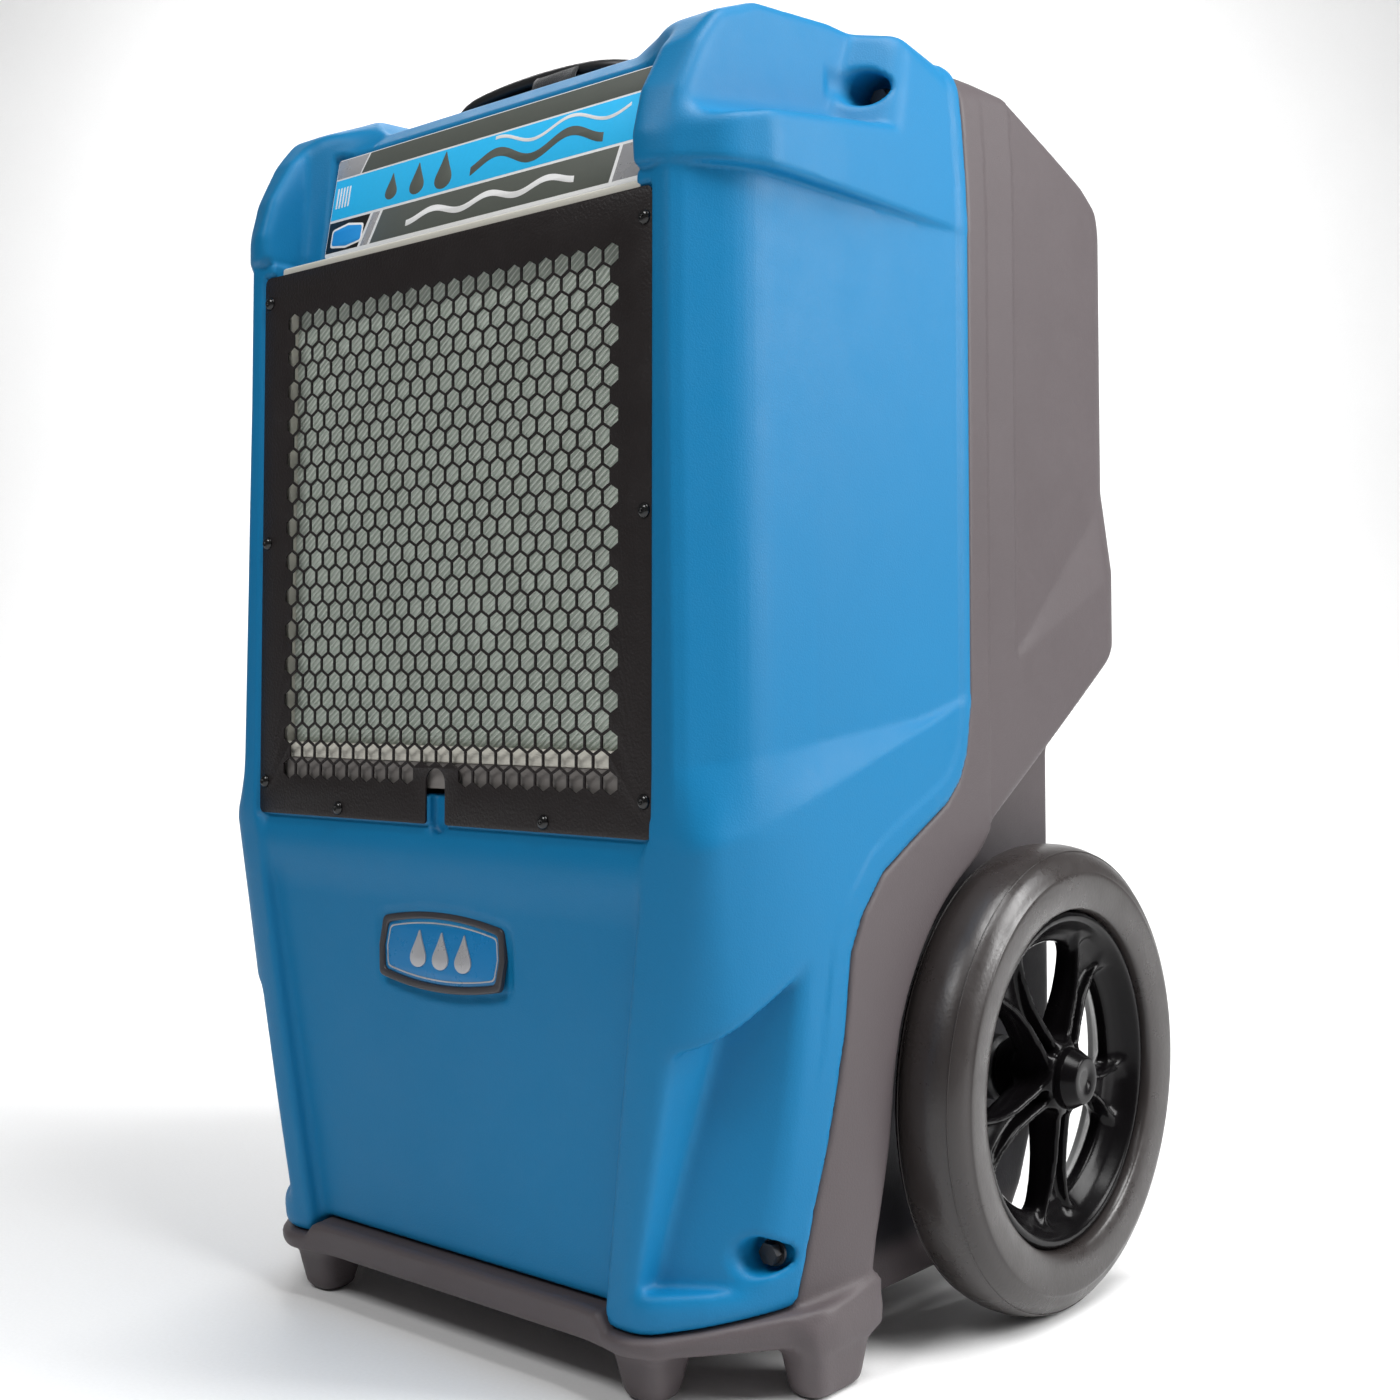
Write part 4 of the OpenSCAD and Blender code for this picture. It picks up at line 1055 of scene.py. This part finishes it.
bm = bmesh.new()
lathe(bm, hub_prof, "y", (0, 0, FAN_Z), 64)
for b in range(BLADES):
    faces = []
    for off in (-0.9, 0.9):
        grid = []
        for i in range(SPAN + 1):
            middle = [blade_point(b, i / SPAN, j / CHORD - 0.5) for j in range(CHORD + 1)]
            grid.append([bm.verts.new(row(x, y + off, z)) for x, y, z in middle])
        cover(bm, grid)
        faces.append(grid)
    join_rings(bm, rim_of(faces[0]), rim_of(faces[1]))
from_bm("fan_blades", bm, BLACK, body="fan_rotor", replaces=["impeller"], slot="black_plastic", split=40)

prof = [(12.9, -90), (15.0, -90)]
for k in range(36):
    x = -88 + k * 4.95
    prof += [(15.6, x), (15.6, x + 3.2), (14.6, x + 3.8), (14.6, x + 4.5)]
prof += [(15.4, 90), (12.9, 90)]
turned("grip_sleeve", prof, (0, HANDLE_Y, GRIP_Z), 40, RUBBER, body="handle",
       replaces=["handle_grip"], slot="black_rubber", split=35)

# ---------------------------------------------------------------- finish on the CAD pieces that stay
dress = (
    (RACK, "filter_rack"), (FINS, "evaporator_fins condenser_fins"), (HOSE, "tray_drain"),
    (GALV, "coil_end_plates chassis electrical_box motor_mount"), (MOTOR, "fan_motor"),
    (COPPER, "coil_bends filter_drier suction_line discharge_line"), (BOLT, "housing_bolts"),
    (BLACK, "drip_tray condensate_pump exhaust_collar handle_guides cord_gland"), (LENS, "display_lens"),
    (PAINT, "compressor handle_frame"), (RUBBER, "rubber_mounts handle_caps"), (STEEL, "fan_shaft axle"),
    (POWDER, "fan_shroud exhaust_guard"), (BRASS, "drain_fitting"), (PANEL, "control_panel"),
    (B_RED, "button_power"), (B_GREY, "button_menu button_up button_down"), (B_BLUE, "button_purge"),
    (BUSH, "wheel_bush_right wheel_bush_left"),
)
unbevelled = "coil_bends exhaust_guard evaporator_fins condenser_fins suction_line discharge_line".split()
for mat, node_name in ((mat, name) for mat, names in dress for name in names.split()):
    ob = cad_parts[node_name]
    for sl in ob.material_slots:
        sl.link = "OBJECT"
        sl.material = mat
    if not ob.material_slots:
        ob.data.materials.append(mat)
    if node_name not in unbevelled:
        bv = ob.modifiers.new("edge", "BEVEL")
        bv.width = 0.0006
        bv.segments = 2
        bv.limit_method = "ANGLE"
        bv.angle_limit = math.radians(40)
        bv.use_clamp_overlap = True

# ---------------------------------------------------------------- stage
# white paper that runs back flat, bends up and ends in a wall; lengths in metres from here on
BEND = 1.6
PAPER_TURN = math.radians(40)
floor_me = bpy.data.meshes.new("floor")
sweep = [(0.0, -4.0), (0.0, 2.2)]
for a in (t * math.pi / 24 for t in range(1, 13)):
    sweep.append((BEND - BEND * math.cos(a), 2.2 + BEND * math.sin(a)))
sweep.append((5.0, 3.8))
turn = Matrix.Rotation(PAPER_TURN, 3, "Z")
verts = [turn @ Vector((x, d, z)) for z, d in sweep for x in (-7, 7)]
quads = [(2 * i, 2 * i + 1, 2 * i + 3, 2 * i + 2) for i in range(len(sweep) - 1)]
floor_me.from_pydata(verts, [], quads)
for f in floor_me.polygons:
    f.use_smooth = True
floor = bpy.data.objects.new("floor", floor_me)
scene.collection.objects.link(floor)
floor_me.materials.append(material("floor_paper", (0.93, 0.93, 0.93), 0.85, vary=0.01, bump=0.05, spec=0.1))

world = bpy.data.worlds.new("world")
scene.world = world
world.use_nodes = True
set_inputs(world.node_tree.nodes["Background"], Color=(1, 1, 1, 1), Strength=0.11)


def light(name, at, aim, size, power):
    """White rectangular lamp at a place, turned to a point."""
    d = bpy.data.lights.new(name, "AREA")
    d.shape = "RECTANGLE"
    d.size, d.size_y = size
    d.energy = power
    lamp = bpy.data.objects.new(name, d)
    scene.collection.objects.link(lamp)
    lamp.location = at
    lamp.rotation_euler = (Vector(aim) - Vector(at)).to_track_quat("-Z", "Y").to_euler()


light("key_right", (2.2, 1.1, 1.5), (0.1, 0, 0.45), (1.0, 1.6), 66)
light("front_top", (0.1, -2.0, 2.5), (0, 0, 0.75), (1.0, 0.8), 32)
light("top", (1.0, -0.1, 2.4), (0, 0, 0.5), (1.0, 1.0), 40)
light("backdrop", (-1.2, 0.9, 2.6), (-1.6, 2.6, 0.8), (1.6, 1.0), 95)
scene.view_settings.view_transform = "Standard"
